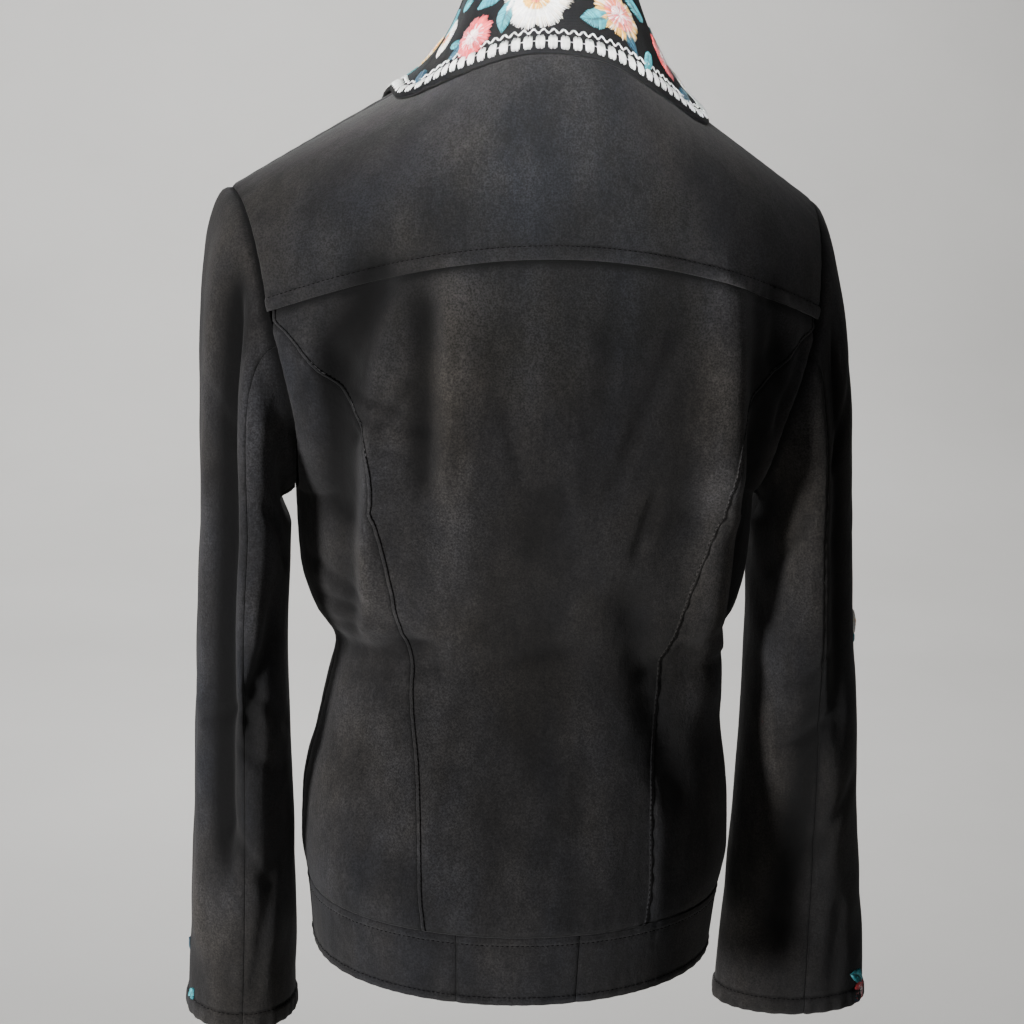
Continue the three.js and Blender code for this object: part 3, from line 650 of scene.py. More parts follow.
def sleeve_form(hand, angle, place):
    """Cap and tube of one sleeve without folds, written for the left arm."""
    angle, place = matched(angle, place)
    rows = SLEEVES[hand]
    turn = np.radians(angle)
    edge = armhole(hand, angle)[0]
    zero = 0 * turn
    start = edge + np.stack([zero + ARMHOLE_GAP, zero, ARMHOLE_GAP * 0.5 * np.cos(turn)], -1)
    end = tube_point(rows, angle, zero)
    spring = CAP_SPRING[hand][0] + CAP_SPRING[hand][1] * np.cos(turn)
    out = np.stack([spring, 0.1 * spring * np.sin(turn), -0.3 * spring], -1)
    fall = np.stack([zero, zero, -np.linalg.norm(end - start, axis=-1)], -1)
    t = np.clip(place + 1, 0, 1)[..., None]
    cap = (start * (2 * t**3 - 3 * t**2 + 1) + out * (t**3 - 2 * t**2 + t)
           + end * (3 * t**2 - 2 * t**3) + fall * (t**3 - t**2))
    return np.where((place >= 0)[..., None], tube_point(rows, angle, np.maximum(place, 0)), cap)


def sleeve_fold_height(hand, angle, z):
    """Height of the large folds of a sleeve, whose spread is in degrees."""
    height = np.zeros(np.broadcast(angle, z).shape)
    for fold in SLEEVE_FOLDS:
        if fold["side"] != hand:
            continue
        t = np.clip((z - fold["z0"]) / (fold["z1"] - fold["z0"]), 0, 1)
        off = angle - (fold["angle0"] + (fold["angle1"] - fold["angle0"]) * t)
        past = np.maximum(0, np.maximum(z - fold["z0"], fold["z1"] - z))
        fade = np.exp(-((off / fold["spread"]) ** 2) - (past / FOLD_FADE) ** 2)
        height += fold["height"] * fade
    return height


SLEEVE_CREASE_LINES = [
    {**row, "x0": row["angle0"] * MM_PER_DEGREE, "x1": row["angle1"] * MM_PER_DEGREE}
    for row in SLEEVE_CREASES
]


def sleeve_folds(hand, angle, place):
    """Height of all folds and creases at a place of a sleeve."""
    angle = np.asarray(angle, float) % 360
    turn = np.radians(angle)
    z = sleeve_form(hand, angle, place)[..., 2]
    free = smooth(-1, -0.6, place) * (1 - 0.7 * smooth(CUFF_PLACE - 0.7, CUFF_PLACE, place))
    fine = fold_height(SLEEVE_CREASE_LINES, hand, angle * MM_PER_DEGREE, z)
    height, cell = SLEEVE_SWELL
    x = SLEEVE_RADIUS * np.cos(turn) + 300 * hand
    fine += height * drift(x, z + SLEEVE_RADIUS * np.sin(turn), cell)
    return (sleeve_fold_height(hand, angle, z) + fine) * free


def sleeve_surface(hand, angle, place):
    """Outer face of a sleeve with its folds, and the outward direction there."""
    angle, place = matched(np.asarray(angle, float) % 360, place)
    around = sleeve_form(hand, angle + 0.6, place) - sleeve_form(hand, angle - 0.6, place)
    down = (sleeve_form(hand, angle, np.minimum(place + PROBE, CUFF_PLACE))
            - sleeve_form(hand, angle, np.maximum(place - PROBE, -1)))
    normal = unit(np.cross(down, around))
    edge_normal = armhole(hand, angle)[1]
    upper = smooth(150, 100, np.abs(angle - np.where(angle > 180, 360, 0)))
    at_edge = 1 - smooth(-1, -0.86, place)
    normal = unit(blended(normal, edge_normal, at_edge * upper))
    height = sleeve_folds(hand, angle, place)
    point = sleeve_form(hand, angle, place) + normal * height[..., None]
    mirror = np.array([hand, 1, 1])
    return point * mirror, normal * mirror


# %% [markdown]
# ## Collar
# A turned-down collar is a stand that rises from the neck seam and a fall that rolls over it
# and lies on the shoulders. at runs round it from the nape (0) to the front ends (-1 and 1).
# The fall's second coordinate is 0 at the stand, 1 past the roll and 2 at the outer edge.

# %% Collar form
STAND = table("at height lean_1 lean_2", (0, 40, 5, 5), (0.42, 40, 22, 15), (1, 28, 4, 4))
COLLAR_EDGE = table(
    "at share_1 down_1 bow_1 share_2 down_2 bow_2",  # 1 is the left half, 2 the right
    (0, 0, 0.395, 5, 0, 0.395, 5),
    (0.16, 0.2, 0.345, 3, 0.2, 0.4, 3),
    (0.3, 0.36, 0.27, -5, 0.37, 0.355, -3),
    (0.38, 0.435, 0.24, -8, 0.46, 0.34, -5),
    (0.44, 0.478, 0.163, -9, 0.508, 0.293, -5),
    (0.5, 0.483, 0.003, -9, 0.522, 0.147, -4),
    (0.62, 0.48, -0.36, 0, 0.51, -0.31, 0),
    (0.8, 0.37, -0.68, 3, 0.37, -0.68, 3),
    (1, 0.22, -0.84, 3, 0.22, -0.84, 3),
)
SEAM_SHARE_BACK = 0.42
COLLAR_LIFT = 5
ROLL_RISE = 6.5
ROLL_OUT = 6.5
FALL_CLEAR = 1.2
NECK_PROBE = 0.02
UP = np.array([0, 0, 1.0])


def collar_frame(at):
    """Foot and top of the stand, outer edge, inward direction and bow of the fall."""
    at = np.asarray(at, float)
    hand, reach = hand_of(at), np.abs(at)
    on_back = reach <= SEAM_SHARE_BACK
    share = NECK_SHARE * np.where(on_back, reach / SEAM_SHARE_BACK,
                                  (1 - reach) / (1 - SEAM_SHARE_BACK))
    seam = np.where(on_back[..., None], top_line(1, hand * share), top_line(-1, hand * share))
    gape = np.where(on_back, 0, hand * FRONT_GAP / 2 * (1 - share))

    def by_hand(rows, key):
        left, right = [column(rows, f"{key}_{half}", reach, "at") for half in (1, 2)]
        return np.where(hand > 0, left, right)

    edge_share = hand * by_hand(COLLAR_EDGE, "share")
    down = by_hand(COLLAR_EDGE, "down")
    level = np.abs(down) - 1
    faces = [body_surface(side, edge_share, level) for side in (1, -1)]
    lies_back = (down >= 0)[..., None]
    edge = np.where(lies_back, faces[0][0], faces[1][0])
    edge = edge + COLLAR_LIFT * np.where(lies_back, faces[0][1], faces[1][1])
    zero = 0 * reach
    inward = unit(np.stack([-seam[..., 0], -10 - seam[..., 1], zero], -1))
    height = column(STAND, "height", reach, "at")
    lean = by_hand(STAND, "lean")
    base = seam + np.stack([gape, zero, SEAM_GAP + COLLAR_CLOTH * lean / height], -1)
    top = base + inward * lean[..., None] + UP * height[..., None]
    return base, top, edge, inward, by_hand(COLLAR_EDGE, "bow")


def stand_surface(at, level):
    """Outer face of the collar stand, from the neck seam (0) to its top (1)."""
    at, level = matched(at, level)
    base, top = collar_frame(at)[:2]
    before = blended(*collar_frame(np.maximum(at - NECK_PROBE, -1))[:2], level)
    after = blended(*collar_frame(np.minimum(at + NECK_PROBE, 1))[:2], level)
    return blended(base, top, level), unit(np.cross(after - before, top - base))


def fall_point(at, t):
    """A point of the collar's fall: over the roll (t 0 to 1) and down to the edge (1 to 2)."""
    top, edge, inward, bow = collar_frame(at)[1:]
    start = top + inward * COLLAR_CLOTH + UP * FALL_CLEAR
    out = unit((edge - top) * np.array([1, 1, 0]))
    rise = start + UP * ROLL_RISE * 0.9
    crest = start + out * ROLL_OUT * 1.15 + UP * ROLL_RISE
    shoulder = start + out * ROLL_OUT * 1.5 + UP * ROLL_RISE * 0.35
    k = np.clip(t, 0, 1)[..., None]
    roll = (start * (1 - k) ** 3 + rise * 3 * k * (1 - k) ** 2
            + crest * 3 * k * k * (1 - k) + shoulder * k**3)
    k = np.clip(t - 1, 0, 1)[..., None]
    proud = (shoulder + edge) / 2 + (out + UP) * bow[..., None]
    fall = shoulder * (1 - k) ** 2 + proud * 2 * k * (1 - k) + edge * k * k
    return np.where((t < 1)[..., None], roll, fall)


def fall_surface(at, t):
    """Outer face of the fall and the outward direction there."""
    at, t = matched(at, t)
    along = (fall_point(np.minimum(at + NECK_PROBE, 1), t)
             - fall_point(np.maximum(at - NECK_PROBE, -1), t))
    across = (fall_point(at, np.minimum(t + NECK_PROBE, 2))
              - fall_point(at, np.maximum(t - NECK_PROBE, 0)))
    return fall_point(at, t), unit(np.cross(along, across))


print("collar edge at the nape", np.round(fall_point(np.array(0.0), np.array(2.0)), 1))


# %% [markdown]
# ## From a surface to a piece of cloth
# A pattern piece is a grid of points on its surface. The grid has to be fine along the seams,
# where the cloth turns in and a line of stitches sinks, and may be coarse between. So we
# measure each row and column first, and then set the points at chosen distances from the
# edges. The same distances give the seam its relief and the stitches their line.

# %% Grids that are fine at their seams
GRID_STEP = 3.6
DENSE = 150
EDGE_MARKS = (0, 0.8, 1.7, 3.0)
STITCH_MARKS = (-1.7, -0.7, 0.3, 1.3, 2.6)


def edge_marks(stitch):
    """Distances from an edge at which the grid has a line. stitch is where the thread runs."""
    if not stitch:
        return np.array(EDGE_MARKS)
    between = np.arange(EDGE_MARKS[-1] + 2.4, stitch - 2.6, 2.4)
    return np.concatenate([EDGE_MARKS, between, stitch + np.array(STITCH_MARKS)])


def distances(points, axis):
    """How far each point lies along its row (axis 1) or column (axis 0)."""
    steps = np.linalg.norm(np.diff(points, axis=axis), axis=-1)
    start = np.zeros_like(np.take(steps, [0], axis=axis))
    return np.concatenate([start, np.cumsum(steps, axis=axis)], axis=axis)


def spread_marks(lengths, first, last, step):
    """Distances along lines of these lengths: close at both ends, even between."""
    last = last[::-1]
    between = max(3, math.ceil((lengths.max() - first[-1] - last[0]) / step))
    squeeze = np.minimum(1, 0.45 * lengths / max(first[-1], last[0]))[:, None]
    start = first * squeeze
    end = lengths[:, None] - last * squeeze
    k = np.linspace(0, 1, between + 1)[1:-1]
    middle = start[:, -1:] + (end[:, :1] - start[:, -1:]) * k
    return np.concatenate([start, middle, end], axis=1)


def cloth_grid(surface, level_range, share_range, stitches, step=GRID_STEP):
    """Points, outward directions, shares and levels of a piece's grid. stitches: distance of
    the thread from the top, right, bottom and left edge, or 0 for a plain seam."""
    top, right, bottom, left = [edge_marks(stitch) for stitch in stitches]
    levels = np.linspace(*level_range, DENSE)[:, None]
    low, high = share_range(levels)
    shares = low + (high - low) * np.linspace(0, 1, DENSE) + 0 * levels
    runs = distances(surface(shares, levels)[0], 1)
    marks = spread_marks(runs[:, -1], left, right, step)
    shares = np.array([np.interp(*line) for line in zip(marks, runs, shares)])
    runs = distances(surface(shares, levels)[0], 0).T
    marks = spread_marks(runs[:, -1], top, bottom, step)
    picked_levels = np.array([np.interp(m, r, levels[:, 0]) for m, r in zip(marks, runs)]).T
    picked_shares = np.array([np.interp(*line) for line in zip(marks, runs, shares.T)]).T
    return *surface(picked_shares, picked_levels), picked_shares, picked_levels


# %% [markdown]
# At a plain seam the cloth dips, most where it lies under the piece above. A topstitched edge
# is folded and lies on top: the allowance under it holds it up as far as the thread, which
# pulls a groove, and only its rim turns in. The wider this fold, the higher it stands. Sewing
# also shortens the edge, so the cloth beside it puckers.

# %% Relief of the seams
EDGE_DIPS = (2.2, 0.6, 1.2, 0.6)  # top, right, bottom and left
DIP_WIDTHS = (3.2, 1.5, 1.9, 1.5)
RIM_TURN = 0.8
NARROWEST_FOLD = 2
FOLD_PER_WIDTH = 0.2
FOLD_LIMIT = 1.5
GROOVE_WIDTH = 1.25
PUCKER = 0.14
PUCKER_PER_FOLD = 0.2
PUCKER_WAVE = 13
PUCKER_REACH = 13


def seam_relief(points, stitches):
    """Height that the seams add at each point of a piece."""
    across, down = distances(points, 1), distances(points, 0)
    gaps = (down, across[:, -1:] - across, down[-1:] - down, across)
    runs = (across, down, across, down)
    height = np.zeros(across.shape)
    for gap, run, stitch, dip, width in zip(gaps, runs, stitches, EDGE_DIPS, DIP_WIDTHS):
        height -= (RIM_TURN if stitch else dip) * np.exp(-((gap / width) ** 2))
        fold = min(FOLD_PER_WIDTH * max(stitch - NARROWEST_FOLD, 0), FOLD_LIMIT)
        uneven = run / PUCKER_WAVE + 0.8 * drift(run, gap * 0.3, 40)
        pucker = (PUCKER + PUCKER_PER_FOLD * fold) * np.sin(2 * np.pi * uneven)
        height += pucker * np.exp(-((gap / PUCKER_REACH) ** 2))
        height += fold * (1 - smooth(stitch - 0.6, stitch + 1.8, gap))
        height -= fold * np.exp(-(((gap - stitch) / GROOVE_WIDTH) ** 2))
    return height


# %% [markdown]
# ## Suede
# Suede is leather with its fibres raised. It has no gloss. Its nap catches light at grazing
# angles, which the shader's sheen does, and it lies unevenly, so the black drifts between
# warm and cold greys in soft vertical streaks. Painted shade darkens the colour in the hollows
# of folds and seams, and painted light lightens it on the ridges of folds, so each shell will
# carry its fold depth as an attribute for the material. Fine noise in the bump gives the fibres.

# %% Cloth materials
def bump_from(tree, shader, height, strength, distance, previous=None):
    """Chain a Bump node onto the shader's normal."""
    bump = node(tree, "ShaderNodeBump", Strength=strength, Distance=distance)
    tree.links.new(height, bump.inputs["Height"])
    if previous:
        tree.links.new(previous, bump.inputs["Normal"])
    tree.links.new(bump.outputs["Normal"], shader.inputs["Normal"])
    return bump.outputs["Normal"]


def mix_colours(tree, mode, factor, a, b):
    """Mix two colour outputs with this blend mode."""
    mix = tree.nodes.new("ShaderNodeMix")
    mix.data_type = "RGBA"
    mix.blend_type = mode
    mix.inputs["Factor"].default_value = factor
    tree.links.new(a, mix.inputs["A"])
    tree.links.new(b, mix.inputs["B"])
    return mix.outputs["Result"]


suede, tree, shader = new_material(
    "black_suede", Roughness=0.95, Sheen_Weight=0.08, Sheen_Roughness=0.6,
    Sheen_Tint=(0.80, 0.79, 0.80, 1), Specular_IOR_Level=0.12,
)
place = node(tree, "ShaderNodeTexCoord").outputs["Object"]
nap = mottled(tree, place, 9, (0.029, 0.030, 0.036), (0.054, 0.048, 0.042), (1, 1, 0.6), 0.16)
PILE = (
    # scale, darkest share, stretch and spread of a pattern that darkens the nap
    (26, 0.45, (1, 1, 0.6), 0.16),
    (95, 0.80, (1, 1, 0.14), 0.18),
    (230, 0.74, (1, 1, 0.8), 0.16),
    (800, 0.34, (1, 1, 1), 0.12),
)
PAINTED_LIGHT_TONE = 1.42                 # painted light: the nap's colour is multiplied by this on the highest fold ridge
PAINTED_SHADE_TONE = 0.06                # painted shade: and by this in the deepest hollow of a fold or seam
for scale, darkest, stretch, spread in PILE:
    pattern = mottled(tree, place, scale, (darkest,) * 3, (1, 1, 1), stretch, spread)
    nap = mix_colours(tree, "MULTIPLY", 1.0, nap, pattern)
# Painted shade and painted light: the shell's attribute darkens the nap in hollows and lightens it
# on ridges
hollow = tree.nodes.new("ShaderNodeAttribute")
hollow.attribute_name = "hollow"
shade = node(tree, "ShaderNodeMapRange", From_Min=-1, From_Max=1,
             To_Min=PAINTED_LIGHT_TONE, To_Max=PAINTED_SHADE_TONE)
tree.links.new(hollow.outputs["Fac"], shade.inputs["Value"])
nap = mix_colours(tree, "MULTIPLY", 1.0, nap, shade.outputs["Result"])
tree.links.new(nap, shader.inputs["Base Color"])
soft = bump_from(tree, shader, noise_of(tree, place, 70, 5.0, (1, 1, 0.5)), 0.5, 0.0016)
bump_from(tree, shader, noise_of(tree, place, 900), 0.5, 0.0004, soft)

# %% [markdown]
# The collar is not suede but a smoother black cloth in a plain weave, which carries the
# embroidery. Its threads follow the piece, so they are read from the piece's own UV map: two
# waves across each other, a thread every half millimetre.

# %% Collar cloth
collar_cloth, tree, shader = new_material(
    "black_collar_cloth", Roughness=0.85, Sheen_Weight=0.02, Sheen_Roughness=0.5,
    Sheen_Tint=(0.8, 0.8, 0.8, 1), Specular_IOR_Level=0.15,
)
coordinates = node(tree, "ShaderNodeTexCoord")
place = coordinates.outputs["Object"]
drifted = mottled(tree, place, 30, (0.004, 0.004, 0.005), (0.009, 0.009, 0.009))
specks = mottled(tree, place, 900, (0.6, 0.6, 0.6), (1, 1, 1))
blend = mix_colours(tree, "MULTIPLY", 0.8, drifted, specks)
tree.links.new(blend, shader.inputs["Base Color"])
WEAVE_SCALE = 320
normal = None
for direction in ("X", "Y"):
    wave = node(tree, "ShaderNodeTexWave", Scale=WEAVE_SCALE, Distortion=0.6)
    wave.bands_direction = direction
    tree.links.new(coordinates.outputs["UV"], wave.inputs["Vector"])
    normal = bump_from(tree, shader, wave.outputs["Fac"], 0.3, 0.0003, normal)

# %% [markdown]
# ## The shell of a piece
# A piece has two layers, its outer face and the same face a cloth's thickness further in. Each
# starts as a flat grid, whose corners move onto the piece's points. A Solidify modifier would
# be shorter, but it follows the turned-in rims and opens a slit at each seam. So the inner
# layer is moved along the form's own direction, and the rims are closed face by face.

# %% Shell maker
shells = {}
PAINTED_SHADE_FULL_DEPTH = 6                   # mm deep, where the painted shade is darkest
PAINTED_SEAM_SHADE = 4                    # painted shade in a sharp seam's groove is this much stronger than in a soft fold


def laid_grid(bm, points, runs, hollow):
    """Add a grid on these points (metres), with its UV map in cloth metres and the painted shade of
    each point. Returns corners.
    """
    rows, columns = points.shape[:2]
    made = bmesh.ops.create_grid(bm, x_segments=columns - 1, y_segments=rows - 1, size=1)
    uv = bm.loops.layers.uv["cloth"]
    # the layer that holds each point's painted shade
    depth = bm.verts.layers.float["hollow"]
    corners = {}
    for vert in made["verts"]:
        c = round((vert.co.x + 1) / 2 * (columns - 1))
        r = round((1 - vert.co.y) / 2 * (rows - 1))
        corners[r, c] = vert
        vert.co = points[r, c]
        vert[depth] = hollow[r, c]
        for loop in vert.link_loops:
            loop[uv].uv = (runs[0][r, c], -runs[1][r, c])
    return corners


def rim_places(rows, columns):
    """The places round the edge of a grid, in order."""
    return ([(0, c) for c in range(columns)]
            + [(r, columns - 1) for r in range(1, rows)]
            + [(rows - 1, c) for c in range(columns - 2, -1, -1)]
            + [(r, 0) for r in range(rows - 2, 0, -1)])


def cloth_shell(name, grid, stitches, wall, material, folds=None):
    """Make the named piece and dress it."""
    points, normals, shares, levels = grid
    relief = seam_relief(points, stitches)
    # folds gives the fold heights from which the painted shade is set
    height = folds(shares, levels) if folds else 0
    # Painted shade from fold and seam depth: darker in hollows and grooves, lighter on fold ridges
    hollow = np.clip(-(height + PAINTED_SEAM_SHADE * np.minimum(relief, 0)) / PAINTED_SHADE_FULL_DEPTH, -1, 1)
    points = points + normals * relief[..., None]
    rows, columns = points.shape[:2]
    across, down = distances(points, 1) * MM, distances(points, 0) * MM
    bm = bmesh.new()
    bm.loops.layers.uv.new("cloth")
    bm.verts.layers.float.new("hollow")
    outer = laid_grid(bm, points * MM, (across, down), hollow)
    area = sum(face.calc_area() for face in bm.faces)
    inner = laid_grid(bm, (points - normals * wall) * MM, (across, down), hollow)
    rim = rim_places(rows, columns)
    for place, after in zip(rim, rim[1:] + rim[:1]):
        bm.faces.new((outer[place], outer[after], inner[after], inner[place]))
    bmesh.ops.recalc_face_normals(bm, faces=bm.faces)
    mesh = bpy.data.meshes.new(name)
    bm.to_mesh(mesh)
    bm.free()
    mesh.shade_smooth()
    piece = linked(f"{name}_cloth", mesh, material)
    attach(piece, "root")
    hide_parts(name)
    shells[name] = points, normals


# %% [markdown]
# ## Back, fronts and hem band
# The seam between centre back and side back starts at the armhole and runs to the hem, so the
# share at which the two pieces meet comes from the table for each level.

# %% Body pieces
YOKE_STITCH = 9
PRINCESS_STITCH = 4
BAND_STITCH = 5.5
HEM_STITCH = 6
FRONT_STITCH = 7
FRONT_EDGE = 1e-6                 # share of a front's middle edge, which lies on its own side
CUFF_STITCH = 13
PLAIN = (0, 0, 0, 0)
PRINCESS_START = PRINCESS[0]["section"]
BAND_JOIN_LEFT = 0.245
BAND_JOIN_RIGHT = -0.125


def back(share, level):
    return body_surface(1, share, level)


def front(share, level):
    return body_surface(-1, share, level)


def princess(level):
    return column(PRINCESS, "share", np.maximum(level, PRINCESS_START), "section")


def body_piece(name, surface, levels, shares, stitches, wall=CLOTH, side=0):
    """A suede piece; side says whose folds also set its painted shade: 1 the back's, -1 the front's.
    """
    grid = cloth_grid(surface, levels, shares, stitches)
    folds = (lambda share, level: body_folds(side, share, level)) if side else None
    cloth_shell(name, grid, stitches, wall, suede, folds)


body_piece("back_yoke", back, (-1, 0), lambda level: (-1, 1), (0, 0, YOKE_STITCH, 0), side=1)
body_piece("back_centre", back, (0, BAND_SECTION), lambda level: (-princess(level), princess(level)),
           (0, PRINCESS_STITCH, 0, PRINCESS_STITCH), side=1)
for hand, word in HANDS:
    body_piece(f"back_side_{word}", back, (PRINCESS_START, BAND_SECTION),
               lambda level: (hand * princess(level), hand), PLAIN, side=1)
    body_piece(f"front_{word}", front, (-1, BAND_SECTION), lambda level: (hand * FRONT_EDGE, hand),
               (0, 0, 0, FRONT_STITCH), side=-1)


# %% Hem band
def band(around, level):
    """The band goes from the back (0) over the side (1) to the middle of the front (2)."""
    around, level = matched(around, level)
    hand, reach = hand_of(around), np.abs(around)
    found_back = back(hand * np.minimum(reach, 1), level)
    found_front = front(hand * (2 - np.maximum(reach, 1)), level)
    behind = (reach <= 1)[..., None]
    return tuple(np.where(behind, b, f) for b, f in zip(found_back, found_front))


BAND_SPANS = (
    ("hem_band_centre", BAND_JOIN_RIGHT, BAND_JOIN_LEFT),
    ("hem_band_left", BAND_JOIN_LEFT, 2),
    ("hem_band_right", BAND_JOIN_RIGHT, -2),
)
for name, start, end in BAND_SPANS:
    body_piece(name, band, (BAND_SECTION, HEM_SECTION), lambda level: (start, end),
               (BAND_STITCH, 0, HEM_STITCH, 0), BAND_CLOTH)

# %% [markdown]
# ## Sleeves and collar
# A two-piece sleeve has a wide top and a narrow under sleeve. Both are strips of the same
# tube. The collar's stand and fall need a closer grid, because the roll is tight.

# %% Sleeve pieces
for hand, word in HANDS:
    surface = lambda angle, place: sleeve_surface(hand, angle, place)
    # the sleeve's folds also set its painted shade
    folds = lambda angle, place: sleeve_folds(hand, angle, place)
    stitches = (0, 0, CUFF_STITCH, 0)
    for part, low, high in (("top", FRONT_SEAM_ANGLE - 360, BACK_SEAM_ANGLE),
                            ("under", BACK_SEAM_ANGLE, FRONT_SEAM_ANGLE)):
        grid = cloth_grid(surface, (-1, CUFF_PLACE), lambda level: (low, high), stitches)
        cloth_shell(f"sleeve_{part}_{word}", grid, stitches, CLOTH, suede, folds)

# %% Collar pieces
COLLAR_STEP = 2.6
COLLAR_PIECES = (("collar_stand", stand_surface, 1), ("collar_fall", fall_surface, 2))
for name, surface, highest in COLLAR_PIECES:
    grid = cloth_grid(surface, (0, highest), lambda level: (-1, 1), PLAIN, COLLAR_STEP)
    cloth_shell(name, grid, PLAIN, COLLAR_CLOTH, collar_cloth)

# %% [markdown]
# ## Threads
# Topstitching and embroidery are both made of threads: short lines that rise from the cloth
# and go back into it. Thousands of separate objects would be slow, so one maker takes many
# lines at once and joins them in a single mesh. Each thread has a diamond section, and its
# colour is kept as an attribute that the material reads.

# %% Thread maker
DIAMOND = np.array([(-0.5, 0.0), (0.0, 1.0), (0.5, 0.0), (0.0, -0.35)])
END_TURN = 0.12                   # how blunt a thread's ends are


def paint(red, green, blue):
    """A colour as the eye reads it from 0 to 255, turned to the linear light of a shader."""
    value = np.array([red, green, blue]) / 255
    return np.where(value <= 0.04045, value / 12.92, ((value + 0.055) / 1.055) ** 2.4)


def joined_threads(name, lines, ups, width, height, colours, material):
    """One mesh of many closed threads. lines and ups: threads x points x 3, in mm."""
    count, points = lines.shape[:2]
    sides = unit(np.cross(ups, np.gradient(lines, axis=1)))
    taper = np.sin(np.linspace(END_TURN, math.pi - END_TURN, points)) ** 0.5
    corners = (lines[:, :, None]
               + sides[:, :, None] * DIAMOND[:, 0, None] * taper[:, None, None] * width
               + ups[:, :, None] * DIAMOND[:, 1, None] * taper[:, None, None] * height)
    ring = len(DIAMOND)
    first = (np.arange(count)[:, None, None] * points + np.arange(points - 1)[:, None]) * ring
    j = np.arange(ring)
    k = (j + 1) % ring
    walls = np.stack([first + j, first + k, first + ring + k, first + ring + j], -1)
    heads = np.arange(count)[:, None] * points * ring
    caps = np.concatenate([heads + j[::-1], heads + (points - 1) * ring + j])
    faces = walls.reshape(-1, 4).tolist() + caps.tolist()
    mesh = bpy.data.meshes.new(name)
    mesh.from_pydata((corners.reshape(-1, 3) * MM).tolist(), [], faces)
    mesh.shade_smooth()
    colour = mesh.color_attributes.new("thread_colour", "FLOAT_COLOR", "POINT")
    shades = np.ones((count, points * ring, 4))
    shades[..., :3] = colours[:, None]
    colour.data.foreach_set("color", shades.ravel())
    piece = linked(name, mesh, material)
    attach(piece, "root")
    print(f"{name}: {count} threads")


# %% Thread materials
def thread_material(name, roughness, shine):
    material, tree, shader = new_material(
        name, Roughness=roughness, Sheen_Weight=0.5 * shine, Specular_IOR_Level=shine)
    place = node(tree, "ShaderNodeTexCoord").outputs["Object"]
    dyed = node(tree, "ShaderNodeAttribute")
    dyed.attribute_name = "thread_colour"
    uneven = mottled(tree, place, 420, (0.78, 0.78, 0.78), (1, 1, 1))
    colour = mix_colours(tree, "MULTIPLY", 1.0, dyed.outputs["Color"], uneven)
    tree.links.new(colour, shader.inputs["Base Color"])
    bump_from(tree, shader, noise_of(tree, place, 2600), 0.4, 0.0002)
    return material


satin = thread_material("satin_embroidery_thread", 0.42, 0.4)
sewing = thread_material("black_sewing_thread", 0.85, 0.0)


# %% [markdown]
# ## Topstitching
# A line of stitches runs a set distance inside an edge. We take that line from the piece's
# own points, walk along it, and lay a stitch of under 3 mm at each step.

# %% Stitch lines
STITCH_PITCH = 3.4
STITCH_LENGTH = 2.6
STITCH_WIDTH = 0.62
STITCH_HEIGHT = 0.34
STITCH_LIFT = np.array([-0.12, 0.22, -0.12])


def line_beside(name, edge, gap):
    """Points and outward directions of the line that runs this far inside an edge."""
    fields = shells[name]
    if edge in ("left", "right"):
        fields = [field.swapaxes(0, 1) for field in fields]
    if edge in ("bottom", "right"):
        fields = [field[::-1] for field in fields]
    runs = distances(fields[0], 0)
    pick = lambda field: np.array([
        [np.interp(gap, runs[:, c], field[:, c, axis]) for axis in range(3)]
        for c in range(runs.shape[1])
    ])
    return pick(fields[0]), pick(fields[1])


def along_line(points, normals, places):
    """Points and directions at these distances along a line."""
    run = distances(points[None], 1)[0]
    pick = lambda field: np.stack([np.interp(places, run, field[:, k]) for k in range(3)], -1)
    return pick(points), unit(pick(normals))


def stitches_on(points, normals):
    """Lines of stitches along a line, ready for the thread maker."""
    total = distances(points[None], 1)[0, -1]
    starts = np.arange(1.0, total - STITCH_LENGTH, STITCH_PITCH)
    places = starts[:, None] + np.array([0, 0.5, 1]) * STITCH_LENGTH
    lines, ups = along_line(points, normals, places)
    return lines + ups * STITCH_LIFT[:, None], ups


BANDS = ("hem_band_centre", "hem_band_left", "hem_band_right")
STITCHED = [
    # piece, edge and distance of the thread from it
    ("back_yoke", "bottom", YOKE_STITCH),
    ("back_centre", "left", PRINCESS_STITCH),
    ("back_centre", "right", PRINCESS_STITCH),
    ("front_left", "left", FRONT_STITCH),
    ("front_right", "left", FRONT_STITCH),
    *((name, "top", BAND_STITCH) for name in BANDS),
    *((name, "bottom", HEM_STITCH) for name in BANDS),
    *((f"sleeve_{part}_{word}", "bottom", CUFF_STITCH)
      for _, word in HANDS for part in ("top", "under")),
]
found = [stitches_on(*line_beside(*row)) for row in STITCHED]
lines, ups = [np.concatenate(field) for field in zip(*found)]
black = np.tile(paint(12, 12, 12), (len(lines), 1))
joined_threads("topstitching", lines, ups, STITCH_WIDTH, STITCH_HEIGHT, black, sewing)

# %% [markdown]
# ## Places on the collar
# The embroidery is drawn on a flat patch in millimetres, x along the edge and y up from it,
# and then laid on the fall. A table of how far up the edge each t lies lets us ask for a
# height, and the length of a small step sideways tells how fast at grows there.

# %% Collar patch
AT_STEPS = 240
UP_LIMIT = 100
PATCH_PROBE = 0.01
lookup_at = np.linspace(-1, 1, AT_STEPS + 1)[:, None]
lookup_t = np.linspace(2, 0, 161)
ladder = distances(fall_surface(lookup_at, lookup_t)[0], 1)
heights = np.arange(UP_LIMIT + 1)
T_AT_HEIGHT = np.array([np.interp(heights, run, lookup_t) for run in ladder])


